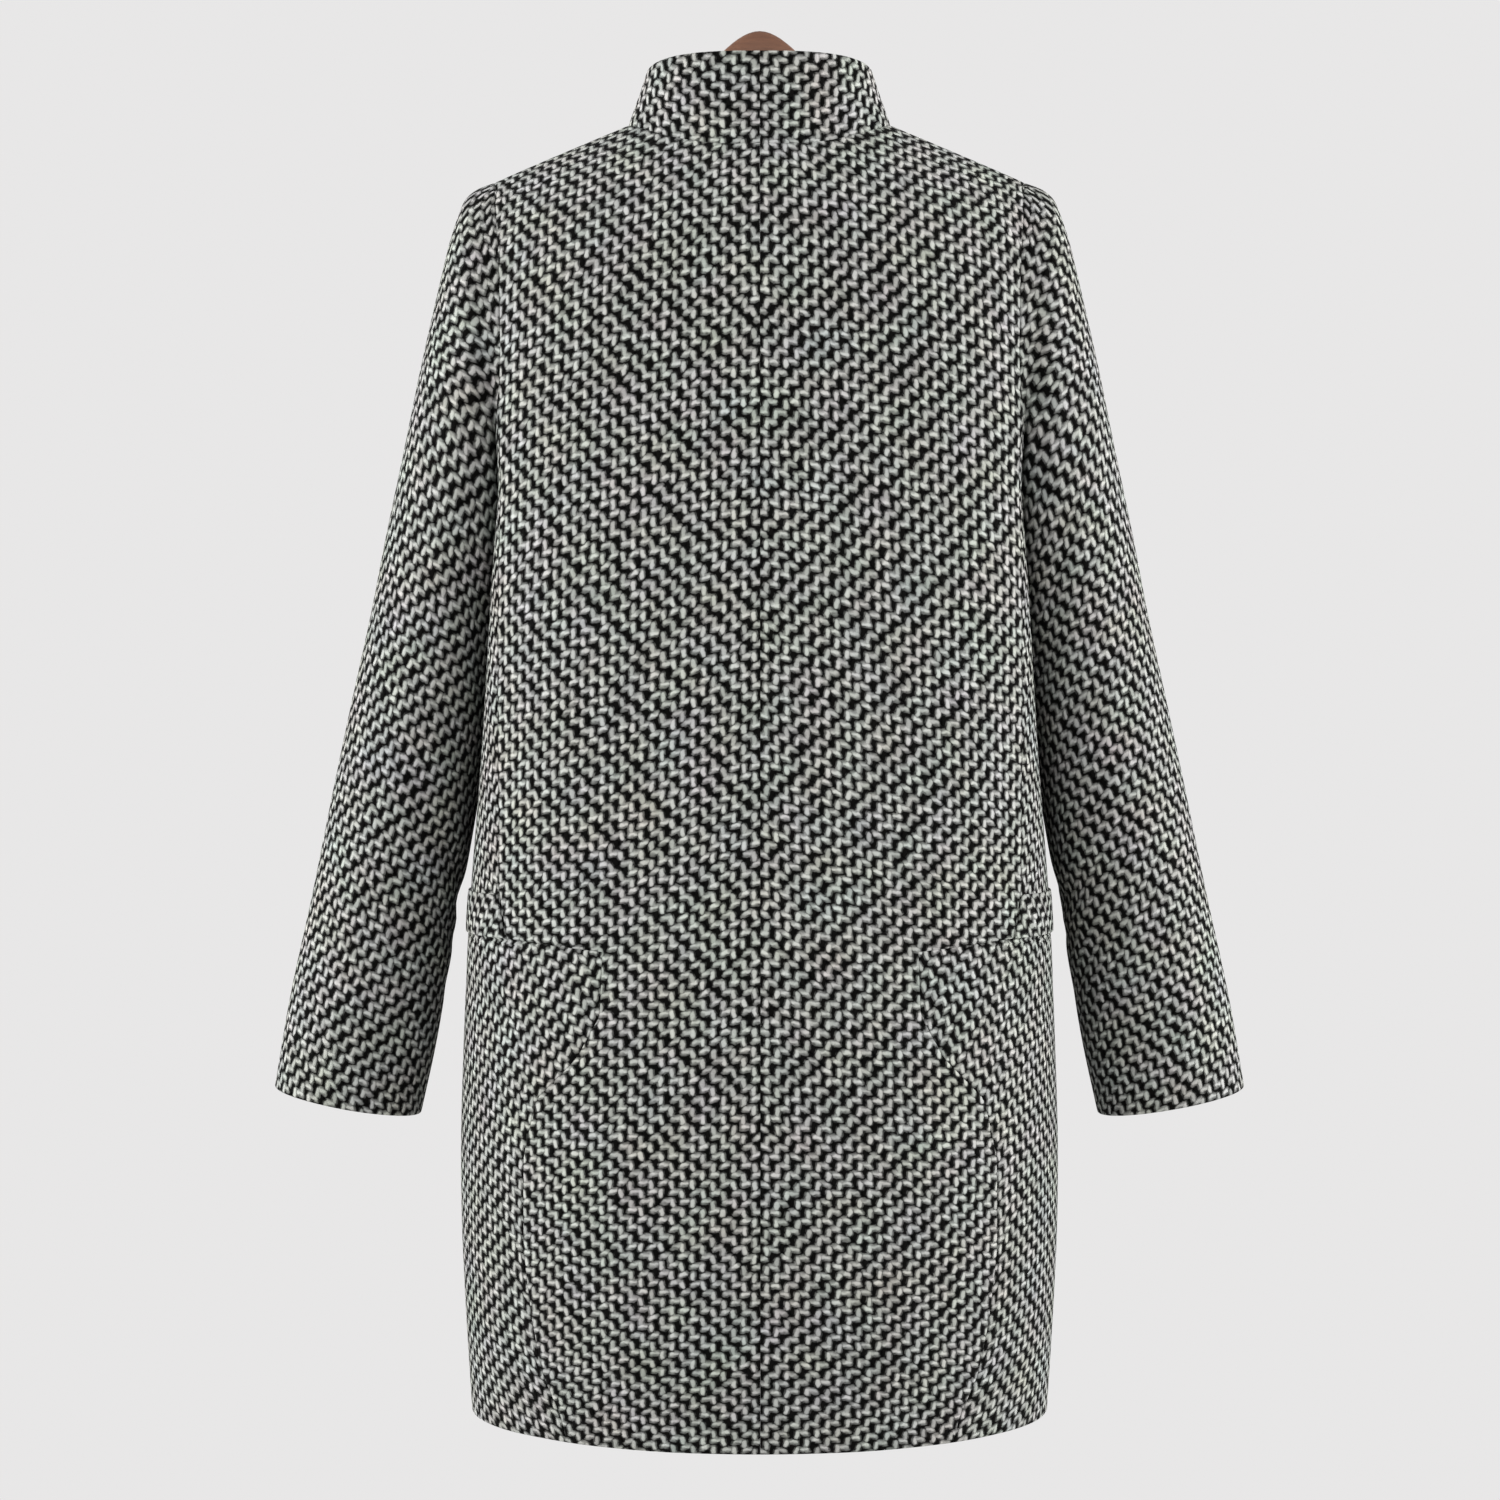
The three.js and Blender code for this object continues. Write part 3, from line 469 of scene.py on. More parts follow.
def side_panel():
    even = np.arange(SIDE_CELLS * FINER + 1) / (SIDE_CELLS * FINER)
    close = [*EDGE_SHARES, *[1 - share for share in EDGE_SHARES]]
    shares = np.sort(np.concatenate([even, close]))
    dips = np.array([SEAM_TOP_Z - side_top_z(share) for share in shares])
    dips[0] = dips[-1] = 0
    rows = []
    for level in LEVELS:
        rise = max(0, (level - LEVEL_TOP) / (SEAM_TOP_Z - LEVEL_TOP))
        if rise:
            row = [side_nodes(level - dip * rise, np.array([share])) for share, dip in zip(shares, dips)]
            rows.append(gathered(row, np.concatenate))
        else:
            rows.append(side_nodes(level, shares))
    points, normals, distances = gathered(rows)
    kept = np.isin(shares, even)
    top = (points[-1, kept], normals[-1, kept])
    for column, beside in ((0, 1), (-1, -2)):
        draw_in(points, normals, (ALL, column), (ALL, beside))
    return points, normals, top, distances


def start_ring(edge, normals, closed):
    """Points of a second piece's first row, a seam gap beyond the edge that it starts from."""
    return edge + unit(np.cross(steps_over(edge, closed), normals)) * SEAM_CLEAR


def grid_normals(points, closed):
    """The way out of a grid's face at each point, pointing away from the middle of its row."""
    if closed:
        around = np.roll(points, -1, 1) - np.roll(points, 1, 1)
    else:
        around = np.gradient(points, axis=1)
    normals = unit(np.cross(around, np.gradient(points, axis=0)))
    middle = points.mean(1, keepdims=True) if closed else points * [0, 0, 1]
    side = np.sign(np.sum(normals * (points - middle), -1, keepdims=True))
    return normals * side


sleeve_ring = {
    name: curve_through(np.arange(len(column)), column) for name, column in SLEEVE_RINGS.items()
}
LAST_RING = len(SLEEVE_RINGS["outX"]) - 1


def ring_points(ring, angle):
    part = (1 + np.cos(angle)) / 2
    x = lerp(sleeve_ring["inX"](ring), sleeve_ring["outX"](ring), part)
    z = lerp(sleeve_ring["inZ"](ring), sleeve_ring["outZ"](ring), part)
    y = sleeve_ring["deep"](ring) * np.sin(angle) - sleeve_ring["forward"](ring)
    return np.stack([x, y, z], -1)


def sleeve(back_edge, side_top, front_edge):
    loop, loop_out = (np.concatenate([behind[::-1], below[1:-1], ahead[:-1]])
                      for behind, below, ahead in zip(back_edge, side_top, front_edge))
    high = {name: column[0] for name, column in SLEEVE_RINGS.items()}
    middle_z, half = (high["outZ"] + high["inZ"]) / 2, (high["outZ"] - high["inZ"]) / 2
    angles = np.arctan2(loop[:, 1] / high["deep"], (loop[:, 2] - middle_z) / half)
    angles = np.where(angles < 0, angles + 2 * math.pi, angles)
    angles[0] = 0
    rest = loop - ring_points(0, angles)
    even = np.arange(len(loop)) / len(loop) * 2 * math.pi
    rows = [start_ring(loop, loop_out, True)]
    cuff = [LAST_RING - step for step in CUFF_STEPS]
    steps = [i / RINGS_FINER for i in range(1, LAST_RING * RINGS_FINER)]
    for ring in [step for step in steps if step < cuff[0]] + cuff:
        turn = lerp(angles, even, smooth_step(0, LAST_RING / 2, ring))
        kept = max(0, 1 - ring / ARMHOLE_FADE) ** 2
        rows.append(ring_points(ring, turn) + rest * kept)
    points = np.array(rows)
    normals = grid_normals(points, True)
    normals[0] = loop_out
    half_turn = len(loop) // 2
    return np.roll(points, half_turn, 1), np.roll(normals, half_turn, 1)


def collar_top(edge):
    x, y = edge[:, 0], edge[:, 1]
    back = y >= 0
    deep = np.where(back, COLLAR_BACK, COLLAR_FRONT)
    neck_deep = np.where(back, COLLAR_BACK, -FRONT_NECK_Z / 2)
    turn = np.arctan2(np.abs(y) / neck_deep, np.abs(x) / NECK_POINT_X)
    reach = rounded_reach(turn, COLLAR_HALF_WIDTH, deep, COLLAR_SQUARE)
    fall = smooth_step(0, QUARTER_TURN, turn) * (COLLAR_TOP_Z - COLLAR_FRONT_TOP_Z)
    z = COLLAR_TOP_Z - np.where(back, 0, fall)
    return np.stack([reach * np.cos(turn), np.where(back, 1, -1) * reach * np.sin(turn), z], -1)


def collar(back_edge, front_edge):
    edge, edge_out = (np.concatenate([behind, ahead[:-1][::-1]])
                      for behind, ahead in zip(back_edge, front_edge))
    edge[0, 0] = edge[-1, 0] = 0
    first = start_ring(edge, edge_out, False)
    shares = edged(COLLAR_ROWS)
    shares[-3:-1] = COLLAR_TOP_SHARES
    points = lerp(first[None], collar_top(first)[None], shares[:, None, None])
    normals = grid_normals(points, False)
    normals[0] = edge_out
    for column, beside, gap in ((0, 1, SEAM_CLEAR / 2), (-1, -2, COLLAR_FRONT_GAP / 2)):
        stand_straight(normals, (ALL, column))
        draw_in(points, normals, (ALL, column), (ALL, beside), gap)
    return points, normals


# Soft creases: each one's turn, place down the cloth, half length, half width, how far it stands
# out and its lean. On the body a turn is measured from the centre back and the place is a height. On
# a sleeve the turn is from its outer fold towards the back, and the place is a count of sections.
BODY_CREASES = [
    (24, -335, 95, 17, -1.3, 34),
    (-29, -352, 80, 20, -1.1, -38),
    (47, -470, 120, 22, 1.2, 4),
    (-44, -505, 105, 19, 1.0, -7),
    (13, -560, 60, 24, -0.9, 68),
    (-18, -585, 70, 20, -0.8, -74),
    (31, -775, 130, 26, 1.5, 3),
    (-35, -790, 115, 23, 1.3, -5),
    (58, -835, 95, 18, -1.6, -4),
    (-61, -815, 110, 21, -1.4, 6),
    (66, -640, 34, 9, -1.1, 80),
    (-68, -646, 30, 10, -1.0, -78),
    (82, -735, 100, 24, 1.2, -3),
    (-86, -750, 90, 22, 1.1, 2),
    (148, -345, 85, 18, -1.3, -36),
    (-146, -330, 95, 17, -1.2, 33),
    (128, -520, 110, 22, 1.2, -5),
    (-131, -495, 120, 20, 1.1, 6),
    (142, -800, 120, 25, 1.5, -3),
    (-139, -780, 130, 24, 1.4, 4),
    (118, -830, 90, 20, -1.5, 5),
    (-121, -845, 100, 19, -1.4, -4),
]
BODY_RADIUS = 150
SLEEVE_CREASES = [
    (152, 8.6, 46, 11, -2.3, 62),
    (166, 9.7, 38, 9, -1.8, 74),
    (205, 9.1, 52, 12, -2.6, 104),
    (222, 10.3, 40, 10, -1.9, 118),
    (128, 4.2, 60, 14, -1.6, 24),
    (236, 4.8, 64, 15, -1.8, -26),
    (88, 11.6, 70, 18, 1.1, 12),
    (30, 7.4, 90, 20, 1.0, -6),
    (300, 11.2, 80, 19, 1.2, -14),
    (64, 13.6, 34, 12, -0.9, 82),
    (276, 13.1, 36, 12, -1.1, 96),
]
SLEEVE_RADIUS = 56
RING_LENGTH = 42


def crease_sum(creases, place_size, round_mm, down_mm, radius):
    """How far out of its own form the cloth stands at points given round and down the piece."""
    total = np.zeros_like(down_mm)
    girth = 2 * math.pi * radius
    for turn, place, long, wide, out, lean in creases:
        round_off = round_mm - math.radians(turn) * radius
        round_off = (round_off + girth / 2) % girth - girth / 2
        down_off = down_mm - place * place_size
        lean = math.radians(lean)
        along = down_off * math.cos(lean) + round_off * math.sin(lean)
        across = round_off * math.cos(lean) - down_off * math.sin(lean)
        total += out * np.exp(-((along / long) ** 2 + (across / wide) ** 2))
    return total


def body_crease(points):
    turn = np.arctan2(points[..., 0], points[..., 1])
    return crease_sum(BODY_CREASES, 1, turn * BODY_RADIUS, points[..., 2], BODY_RADIUS)


def sleeve_crease(points, side):
    columns = points.shape[1]
    quarter = columns // 4
    turn = (np.arange(columns) / columns * 2 * math.pi + math.pi) * side
    down, turn = np.meshgrid(lengths_along(points[:, quarter]), turn, indexing="ij")
    settle = smooth_step(0, 1, down / RING_LENGTH)
    return crease_sum(SLEEVE_CREASES, RING_LENGTH, turn * SLEEVE_RADIUS, down, SLEEVE_RADIUS) * settle


# Weave coordinates, counted in threads. U runs across the cloth and V down it. Down a panel the rows
# lie closer together, and they rise towards the centre.
THREAD = 3.17
WEAVE_START = 400
CENTRE_SHARE = 0.7
HALF_SHIFT = 1.8
WARP_TOP_Z = -160
BODY_ROWS = {
    "z": (-921, -872, -760, -637, -512, -388, -264, -168, -60),
    "pitch": (2.93, 2.93, 2.87, 3, 3.06, 3.26, 3.23, 3.44, 3.44),
    "rise": (-0.04, -0.04, -0.03, 0.025, 0.105, 0.09, 0.01, 0, 0),
    "curve": (0, 0, 0.04, 0, -0.03, 0.01, 0.1, 0.1, 0.1),
}
SIDE_ROWS = {"z": (-921, 0), "pitch": (3.1, 3.1)}
SIDE_RISE = 0.15
SIDE_LEAN = 0.15
SIDE_CROWDING = 1.07
SLEEVE_ROWS = {
    "z": (-800, -640, -512, -388, -260, -160, -60),
    "pitch": (3.1, 3.15, 3.25, 3.28, 3.13, 3.8, 3.8),
}
# How far the sleeve's weft sinks towards the body, as a slope, and where its warp swings
SLEEVE_SINK = {"z": (-766, -717, -662, -549, -438, -340, -273, -100),
               "slope": (0.21, 0.23, 0.27, 0.32, 0.355, 0.42, 0.46, 0.5)}
SLEEVE_SWING = 0.065
SLEEVE_SWING_Z = -330
SLEEVE_SWING_EASE = 40
SLEEVE_CROWDING = 1.03
ARMPIT_EASE = 90
ARC_STEPS = 24
INNER_FROM = 2
COLLAR_PITCH = 2.9
COLLAR_CROWDING = 0.94
CURVE_REACH = 200
ROW_STEP = 2.0
ROWS_TO = 940
SURFACE_X = np.linspace(0, CURVE_REACH, 81)
SURFACE_Z = np.arange(-925, -40, 2.5)
SHORT_OF_LAST = 1.001


def surface_lengths(face):
    """Distances across and up the body's face, on a grid of places across and heights."""
    x, z = np.meshgrid(SURFACE_X, SURFACE_Z)
    ratio = rounded_height(np.minimum(1, x / body["width"](z)), body["square"](z))
    y = body[face](z) * ratio * fullness(x, z)
    across = np.hypot(np.diff(x, axis=1), np.diff(y, axis=1)).cumsum(1)
    pitch = np.interp(z[1:], BODY_ROWS["z"], BODY_ROWS["pitch"])
    upward = (np.hypot(np.diff(z, axis=0), np.diff(y, axis=0)) / pitch).cumsum(0)
    return {"across": np.insert(across, 0, 0, 1), "up": np.insert(upward, 0, 0, 0)}


surface = {face: surface_lengths(face) for face in ("back", "front")}


def look_up(table, *place):
    """A value of such a grid between its points."""
    cells = []
    for axis, value in zip((SURFACE_X, SURFACE_Z), place):
        cells.append(np.clip((value - axis[0]) / (axis[1] - axis[0]), 0, len(axis) - SHORT_OF_LAST))
    column, row = cells
    c, r = column.astype(int), row.astype(int)
    low, high = (lerp(table[k, c], table[k, c + 1], column - c) for k in (r, r + 1))
    return lerp(low, high, row - r)


def threads(across, down):
    """Weave coordinates from a distance in millimetres across and a count of rows down."""
    return np.stack([across / THREAD + CENTRE_SHARE, down + 0 * across], -1) + WEAVE_START


def rows_down(z, table):
    """How many rows lie above a height, on an upright cloth."""
    drops = np.arange(0, ROWS_TO, ROW_STEP)
    rows = np.cumsum(ROW_STEP / np.interp(-drops, table["z"], table["pitch"]))
    return np.interp(-z, drops, rows)


def body_weave(face, points):
    x, z = points[..., 0], points[..., 2]
    across = look_up(surface[face]["across"], np.abs(x), np.minimum(z, WARP_TOP_Z)) * np.sign(x)
    up = look_up(surface[face]["up"], np.abs(x), z)
    rise, curve = (np.interp(z, BODY_ROWS["z"], BODY_ROWS[name]) for name in ("rise", "curve"))
    slant = rise * np.abs(x) + curve * x * x / CURVE_REACH
    return threads(-across, -up - slant / THREAD)


def side_weave(points, distances):
    """Distances are from the side line, so that the warp runs straight past the jog."""
    z = points[..., 2]
    down = rows_down(z, SIDE_ROWS) + SIDE_RISE * distances / THREAD
    return threads(distances * SIDE_CROWDING + SIDE_LEAN * z, down)


def sleeve_weave(points):
    """Threads of a rolled sleeve grid: U round its level sections from the outer fold, V down."""
    unrolled = np.concatenate([points, points[:, :1]], 1)
    x, y, z = (unrolled[..., axis] for axis in range(3))
    rings = {name: np.array(column, float) for name, column in SLEEVE_RINGS.items()}
    outer = np.interp(-z, -rings["outZ"], rings["outX"])
    inner = np.interp(-z, -rings["inZ"][INNER_FROM:], rings["inX"][INNER_FROM:])
    middle_z = (rings["outZ"] + rings["inZ"]) / 2
    deep = np.interp(-z, -middle_z, rings["deep"])
    forward = np.interp(-z, -middle_z, rings["forward"])
    cap = smooth_step(ARMPIT_Z - ARMPIT_EASE / 2, ARMPIT_Z + ARMPIT_EASE, z)
    centre = lerp((outer + inner) / 2, inner, cap)
    half = outer - centre
    turn = np.arctan2((y + forward) / deep, (x - centre) / half)
    first = np.abs(turn[:, 0]) > QUARTER_TURN
    for column, sign in ((0, -1), (-1, 1)):
        turn[:, column] = np.where(first, sign * np.abs(turn[:, column]), turn[:, column])
    steps = (np.arange(ARC_STEPS) + 0.5) / ARC_STEPS * turn[..., None]
    speed = np.hypot(half[..., None] * np.sin(steps), deep[..., None] * np.cos(steps))
    arc = speed.mean(-1) * turn
    sink = np.interp(z, SLEEVE_SINK["z"], SLEEVE_SINK["slope"])
    swing = SLEEVE_SWING * np.hypot(z - SLEEVE_SWING_Z, SLEEVE_SWING_EASE)
    return threads(-arc * SLEEVE_CROWDING - swing, rows_down(z - sink * (x - centre), SLEEVE_ROWS))


def collar_weave(points):
    """U is the way round at half height, straightened so that the warp stands upright at the back."""
    middle = points[len(points) // 2]
    around = lengths_along(middle)
    steps = np.diff(middle, axis=0)
    upright = np.interp(np.arange(len(around)), np.arange(len(steps)) + 0.5,
                        steps[:, 0] / np.linalg.norm(steps, axis=1))
    across = around + (points[..., 0] - middle[:, 0]) * upright
    return threads(-across * COLLAR_CROWDING, -lengths_along(points) / COLLAR_PITCH)


def edge_distances(points, closed):
    """How far each point of a grid is from its bottom, top, left and right edges."""
    up = lengths_along(points)
    distances = {"bottom": up, "top": up[-1:] - up}
    if not closed:
        right = lengths_along(points, 1)
        distances.update(left=right, right=right[:, -1:] - right)
    return distances


# How far a folded edge may sink, as a share of half the cloth, and where an edge looks sharp
MOST_INSET = 0.8
CLOTH_SHARP_ANGLE = 60
SHARP_ANGLE = 40


def linked(name, data):
    piece = bpy.data.objects.new(name, data)
    bpy.context.scene.collection.objects.link(piece)
    return piece


def smoothed(name, mesh, sharp_angle):
    """An object whose mesh is smooth but for its sharp edges."""
    mesh.polygons.foreach_set("use_smooth", [True] * len(mesh.polygons))
    mesh.set_sharp_from_angle(angle=math.radians(sharp_angle))
    return linked(name, mesh)


def shell(name, points, normals, cloth, weave, out=0, closed=False, folds=(), mirror=False):
    """A thin wall of cloth over a grid, with folded edges rounded and sewn ones sunk a little."""
    rows, columns = points.shape[:2]

    front, thick = np.zeros((rows, columns)), np.full((rows, columns), float(cloth))
    for edge, distance in edge_distances(points, closed).items():
        if edge in folds:
            half = cloth / 2
            inset = half - np.sqrt(np.maximum(half**2 - np.maximum(0, half - distance) ** 2, 0))
            inset = np.minimum(inset, half * MOST_INSET)
            front, thick = np.maximum(front, inset), np.minimum(thick, cloth - 2 * inset)
        else:
            dip = SEAM_DIP * np.maximum(0, 1 - distance / EDGE_ROUND) ** 2
            front, thick = np.maximum(front, dip), np.minimum(thick, cloth - dip)
    outer = points + normals * np.asarray(out)[..., None] - normals * front[..., None]
    inner = outer - normals * thick[..., None]
    vertices = np.concatenate([outer.reshape(-1, 3), inner.reshape(-1, 3)]) * METRES
    if mirror:
        vertices[:, 0] *= -1
    wide = columns + 1 if closed else columns
    count = rows * columns
    index = np.arange(rows)[:, None] * columns + np.arange(wide)[None, :] % columns
    grid = np.stack([index, np.arange(rows * wide).reshape(rows, wide)], -1)
    lining = np.array([count, 0])

    def faces(*corners):
        """Faces whose corners each hold a vertex and a place in the weave."""
        return np.stack(corners, -2).reshape(-1, len(corners), 2)

    def wall(edge, flip):
        """A strip between the outer and the inner face, along one edge."""
        strip = faces(edge[:-1], edge[:-1] + lining, edge[1:] + lining, edge[1:])
        return strip[:, ::-1] if flip else strip

    a, b, c, d = grid[:-1, :-1], grid[:-1, 1:], grid[1:, 1:], grid[1:, :-1]
    parts = [faces(a, b, c, d), faces(a, d, c, b) + lining, wall(grid[0], False), wall(grid[-1], True)]
    if not closed:
        parts += [wall(grid[:, 0], True), wall(grid[:, -1], False)]
    made = np.concatenate(parts)
    first = vertices[made[0, :, 0]]
    facing = np.cross(first[1] - first[0], first[3] - first[0])
    outward = normals.reshape(-1, 3)[made[0, 0, 0] % count] * [-1 if mirror else 1, 1, 1]
    if np.dot(facing, outward) < 0:
        made = made[:, ::-1]
    mesh = bpy.data.meshes.new(name)
    mesh.from_pydata(vertices.tolist(), [], made[..., 0].tolist())
    layer = mesh.uv_layers.new(name="weave")
    layer.data.foreach_set("uv", weave.reshape(-1, 2)[made[..., 1].ravel()].astype(np.float32).ravel())
    piece = smoothed(name, mesh, CLOTH_SHARP_ANGLE)
    mesh.validate()
    step_up = np.diff(points, axis=0)[:, :-1]
    step_on = np.diff(points, axis=1)[:-1]
    area = np.linalg.norm(np.cross(step_up, step_on), axis=2).sum()
    if closed:
        area *= columns / (columns - 1)
    length = float(lengths_along(points)[-1].max()) * METRES
    width = float(lengths_along(points, 1)[:, -1].max()) * METRES
    return piece, (width, length), float(area) * METRES**2


# Noises of the materials: scale to the metre, detail, roughness and how far each way is stretched
NOISES = {
    "shake": {"Scale": 300.0, "Detail": 1.5},
    "wander": {"Scale": 24.0, "Detail": 1.0},
    "fibres": {"Scale": 1500.0, "Detail": 3.0, "Roughness": 0.7},
    "tint": {"Scale": 34.0},
    "grain": {"Scale": 6.0, "Detail": 5.0, "Roughness": 0.6, "stretch": (6.0, 90.0, 90.0)},
    "pores": {"Scale": 3.0, "stretch": (30.0, 700.0, 700.0)},
    "cloud": {"Scale": 130.0, "Detail": 4.0, "Roughness": 0.6, "stretch": (1.0, 1.0, 2.2)},
    "scratch": {"Scale": 900.0},
    "twist": {"Scale": 1800.0},
    "paper": {"Scale": 60.0},
}
USUAL_NOISE = {"Detail": 2.0, "Roughness": 0.5}
MIX_INPUTS = (6, 7)
MIX_OUTPUT = 2


class Graph:
    """Short calls for a material's nodes."""

    def __init__(self, name):
        self.material = bpy.data.materials.new(name)
        self.material.use_nodes = True
        self.tree = self.material.node_tree
        self.tree.nodes.clear()

    def add(self, kind, *inputs, **named):
        """A node with its inputs in order, or by name, and its other settings."""
        node = self.tree.nodes.new("ShaderNode" + kind)
        for name, value in named.items():
            socket = node.inputs.get(name.replace("_", " "))
            if socket:
                self.put(socket, value)
            else:
                setattr(node, name, value)
        for socket, value in zip(node.inputs, inputs):
            self.put(socket, value)
        return node

    def put(self, socket, value):
        if isinstance(value, bpy.types.NodeSocket):
            self.tree.links.new(value, socket)
        else:
            socket.default_value = value

    def __call__(self, operation, *values):
        """The result of a node of arithmetic."""
        return self.add("Math", *values, operation=operation).outputs[0]

    def sum(self, *values):
        total = values[0]
        for value in values[1:]:
            total = self("ADD", total, value)
        return total

    def mix(self, share, low, high):
        """Between two numbers."""
        return self("ADD", low, self("MULTIPLY", share, self("SUBTRACT", high, low)))

    def spread(self, chance, width, middle=0.0):
        """A chance between 0 and 1 as a value spread round a middle."""
        return self("MULTIPLY_ADD", chance, width, middle - width / 2)

    def colour(self, share, low, high, blend="MIX"):
        node = self.add("Mix", data_type="RGBA", blend_type=blend, Factor=share)
        for socket, value in zip(MIX_INPUTS, (low, high)):
            self.put(node.inputs[socket], value)
        return node.outputs[MIX_OUTPUT]

    def place(self):
        return self.add("TexCoord").outputs["Object"]

    def noise(self, kind, place, output="Fac"):
        settings = USUAL_NOISE | NOISES[kind]
        stretch = settings.pop("stretch", None)
        if stretch:
            place = self.add("Mapping", Vector=place, Scale=stretch).outputs["Vector"]
        return self.add("TexNoise", Vector=place, **settings).outputs[output]

    def surface(self, colour, height, distance, strength, **settings):
        bump = self.add("Bump", Height=height, Distance=distance, Strength=strength)
        shader = self.add("BsdfPrincipled", Base_Color=colour, Normal=bump.outputs["Normal"], **settings)
        self.add("OutputMaterial", Surface=shader.outputs["BSDF"])
        return self.material


# Weave: a two and two twill of one light and one dark yarn, both ways. Every stretch of yarn between
# two crossings, a float, is one soft rounded form of its own place, lean and tone.
REPEAT = 4
FLOATS = {
    "warp": {"start": 1.0, "long": 1.15, "wide": 0.6, "lean": 0.06, "tone": 0.05},
    "weft": {"start": 3.1, "long": 1.1, "wide": 0.66, "lean": -0.34, "tone": 0.15},
}
FLOAT_SHIFT_ALONG = 0.7
FLOAT_SHIFT_ACROSS = 0.25
FLOAT_TURN = 0.35
FLOAT_BLEND = 3.0
FLOAT_EASE = FLOAT_BLEND / 12
YARN_SHAKE = 0.6
YARN_WANDER = 0.5
LIGHT_YARN = ((0.16, 0.166, 0.154, 1), (0.43, 0.436, 0.41, 1))
DARK_YARN = ((0.001, 0.001, 0.0008, 1), (0.004, 0.0038, 0.0035, 1))
TINTS = 0.1
GAP_SHADE = 0.04
GAP_START = -0.3
ACROSS_POWER = 2.0
ENDS_POWER = 4.0
TONE_SPREAD = 0.5
FIBRE_TONE = 0.5
FIBRE_TONE_START = -0.1
FIBRE_RELIEF = 0.35

WOOD = ((0.043, 0.016, 0.008, 1), (0.15, 0.063, 0.031, 1))
PORE = (0.06, 0.025, 0.014, 1)
PORE_LIMIT = 0.62
PORE_SHARE = 0.5
GRAIN_RELIEF = 0.4
PORE_RELIEF = -0.6
WOOD_ROUGHNESS = (0.2, 0.4)
HORN = ((0.007, 0.006, 0.0055, 1), (0.06, 0.036, 0.021, 1))
HORN_BAND_START = 0.5
HORN_BAND_SOFT = 0.08
HORN_BAND_STRENGTH = 4.0
HORN_ROUGHNESS = (0.15, 0.32)
THREAD_COLOURS = ((0.006, 0.006, 0.006, 1), (0.035, 0.034, 0.033, 1))


def yarn_float(graph, line, along, kind, beside):
    """Height, lightness and tone of the float of one kind of thread that is near a place."""
    form = FLOATS[kind]
    own = graph("FLOOR", line)
    if beside:
        side = graph("SIGN", graph("SUBTRACT", graph("FRACT", line), 0.5))
        own = graph("ADD", own, side)
    step = graph("DIVIDE", graph.sum(along, own, -form["start"]), REPEAT)
    turn = graph("ROUND", step)
    seed = graph.add("CombineXYZ", own, turn, float(form["start"])).outputs[0]
    chance = graph.add("TexWhiteNoise", seed, noise_dimensions="3D")
    colour = graph.add("SeparateColor", chance.outputs["Color"])
    shift, slip, bend = (colour.outputs[k] for k in range(3))
    far = graph("MULTIPLY", graph("SUBTRACT", step, turn), REPEAT)
    far = graph.sum(far, graph.spread(shift, FLOAT_SHIFT_ALONG))
    off = graph.sum(line, graph("MULTIPLY", own, -1.0), -0.5)
    off = graph.sum(off, graph.spread(slip, FLOAT_SHIFT_ACROSS))
    off = graph("MULTIPLY_ADD", far, graph.spread(bend, FLOAT_TURN, -form["lean"]), off)
    falls = []
    for distance, half, power in ((off, form["wide"], ACROSS_POWER), (far, form["long"], ENDS_POWER)):
        share = graph("ABSOLUTE", graph("DIVIDE", distance, half))
        falls.append(graph("POWER", share, power))
    height = graph("SUBTRACT", 1.0, graph.sum(*falls))
    light = graph("FLOORED_MODULO", own, 2.0)
    tone = graph("MULTIPLY_ADD", chance.outputs["Value"], TONE_SPREAD, form["tone"])
    return height, light, tone


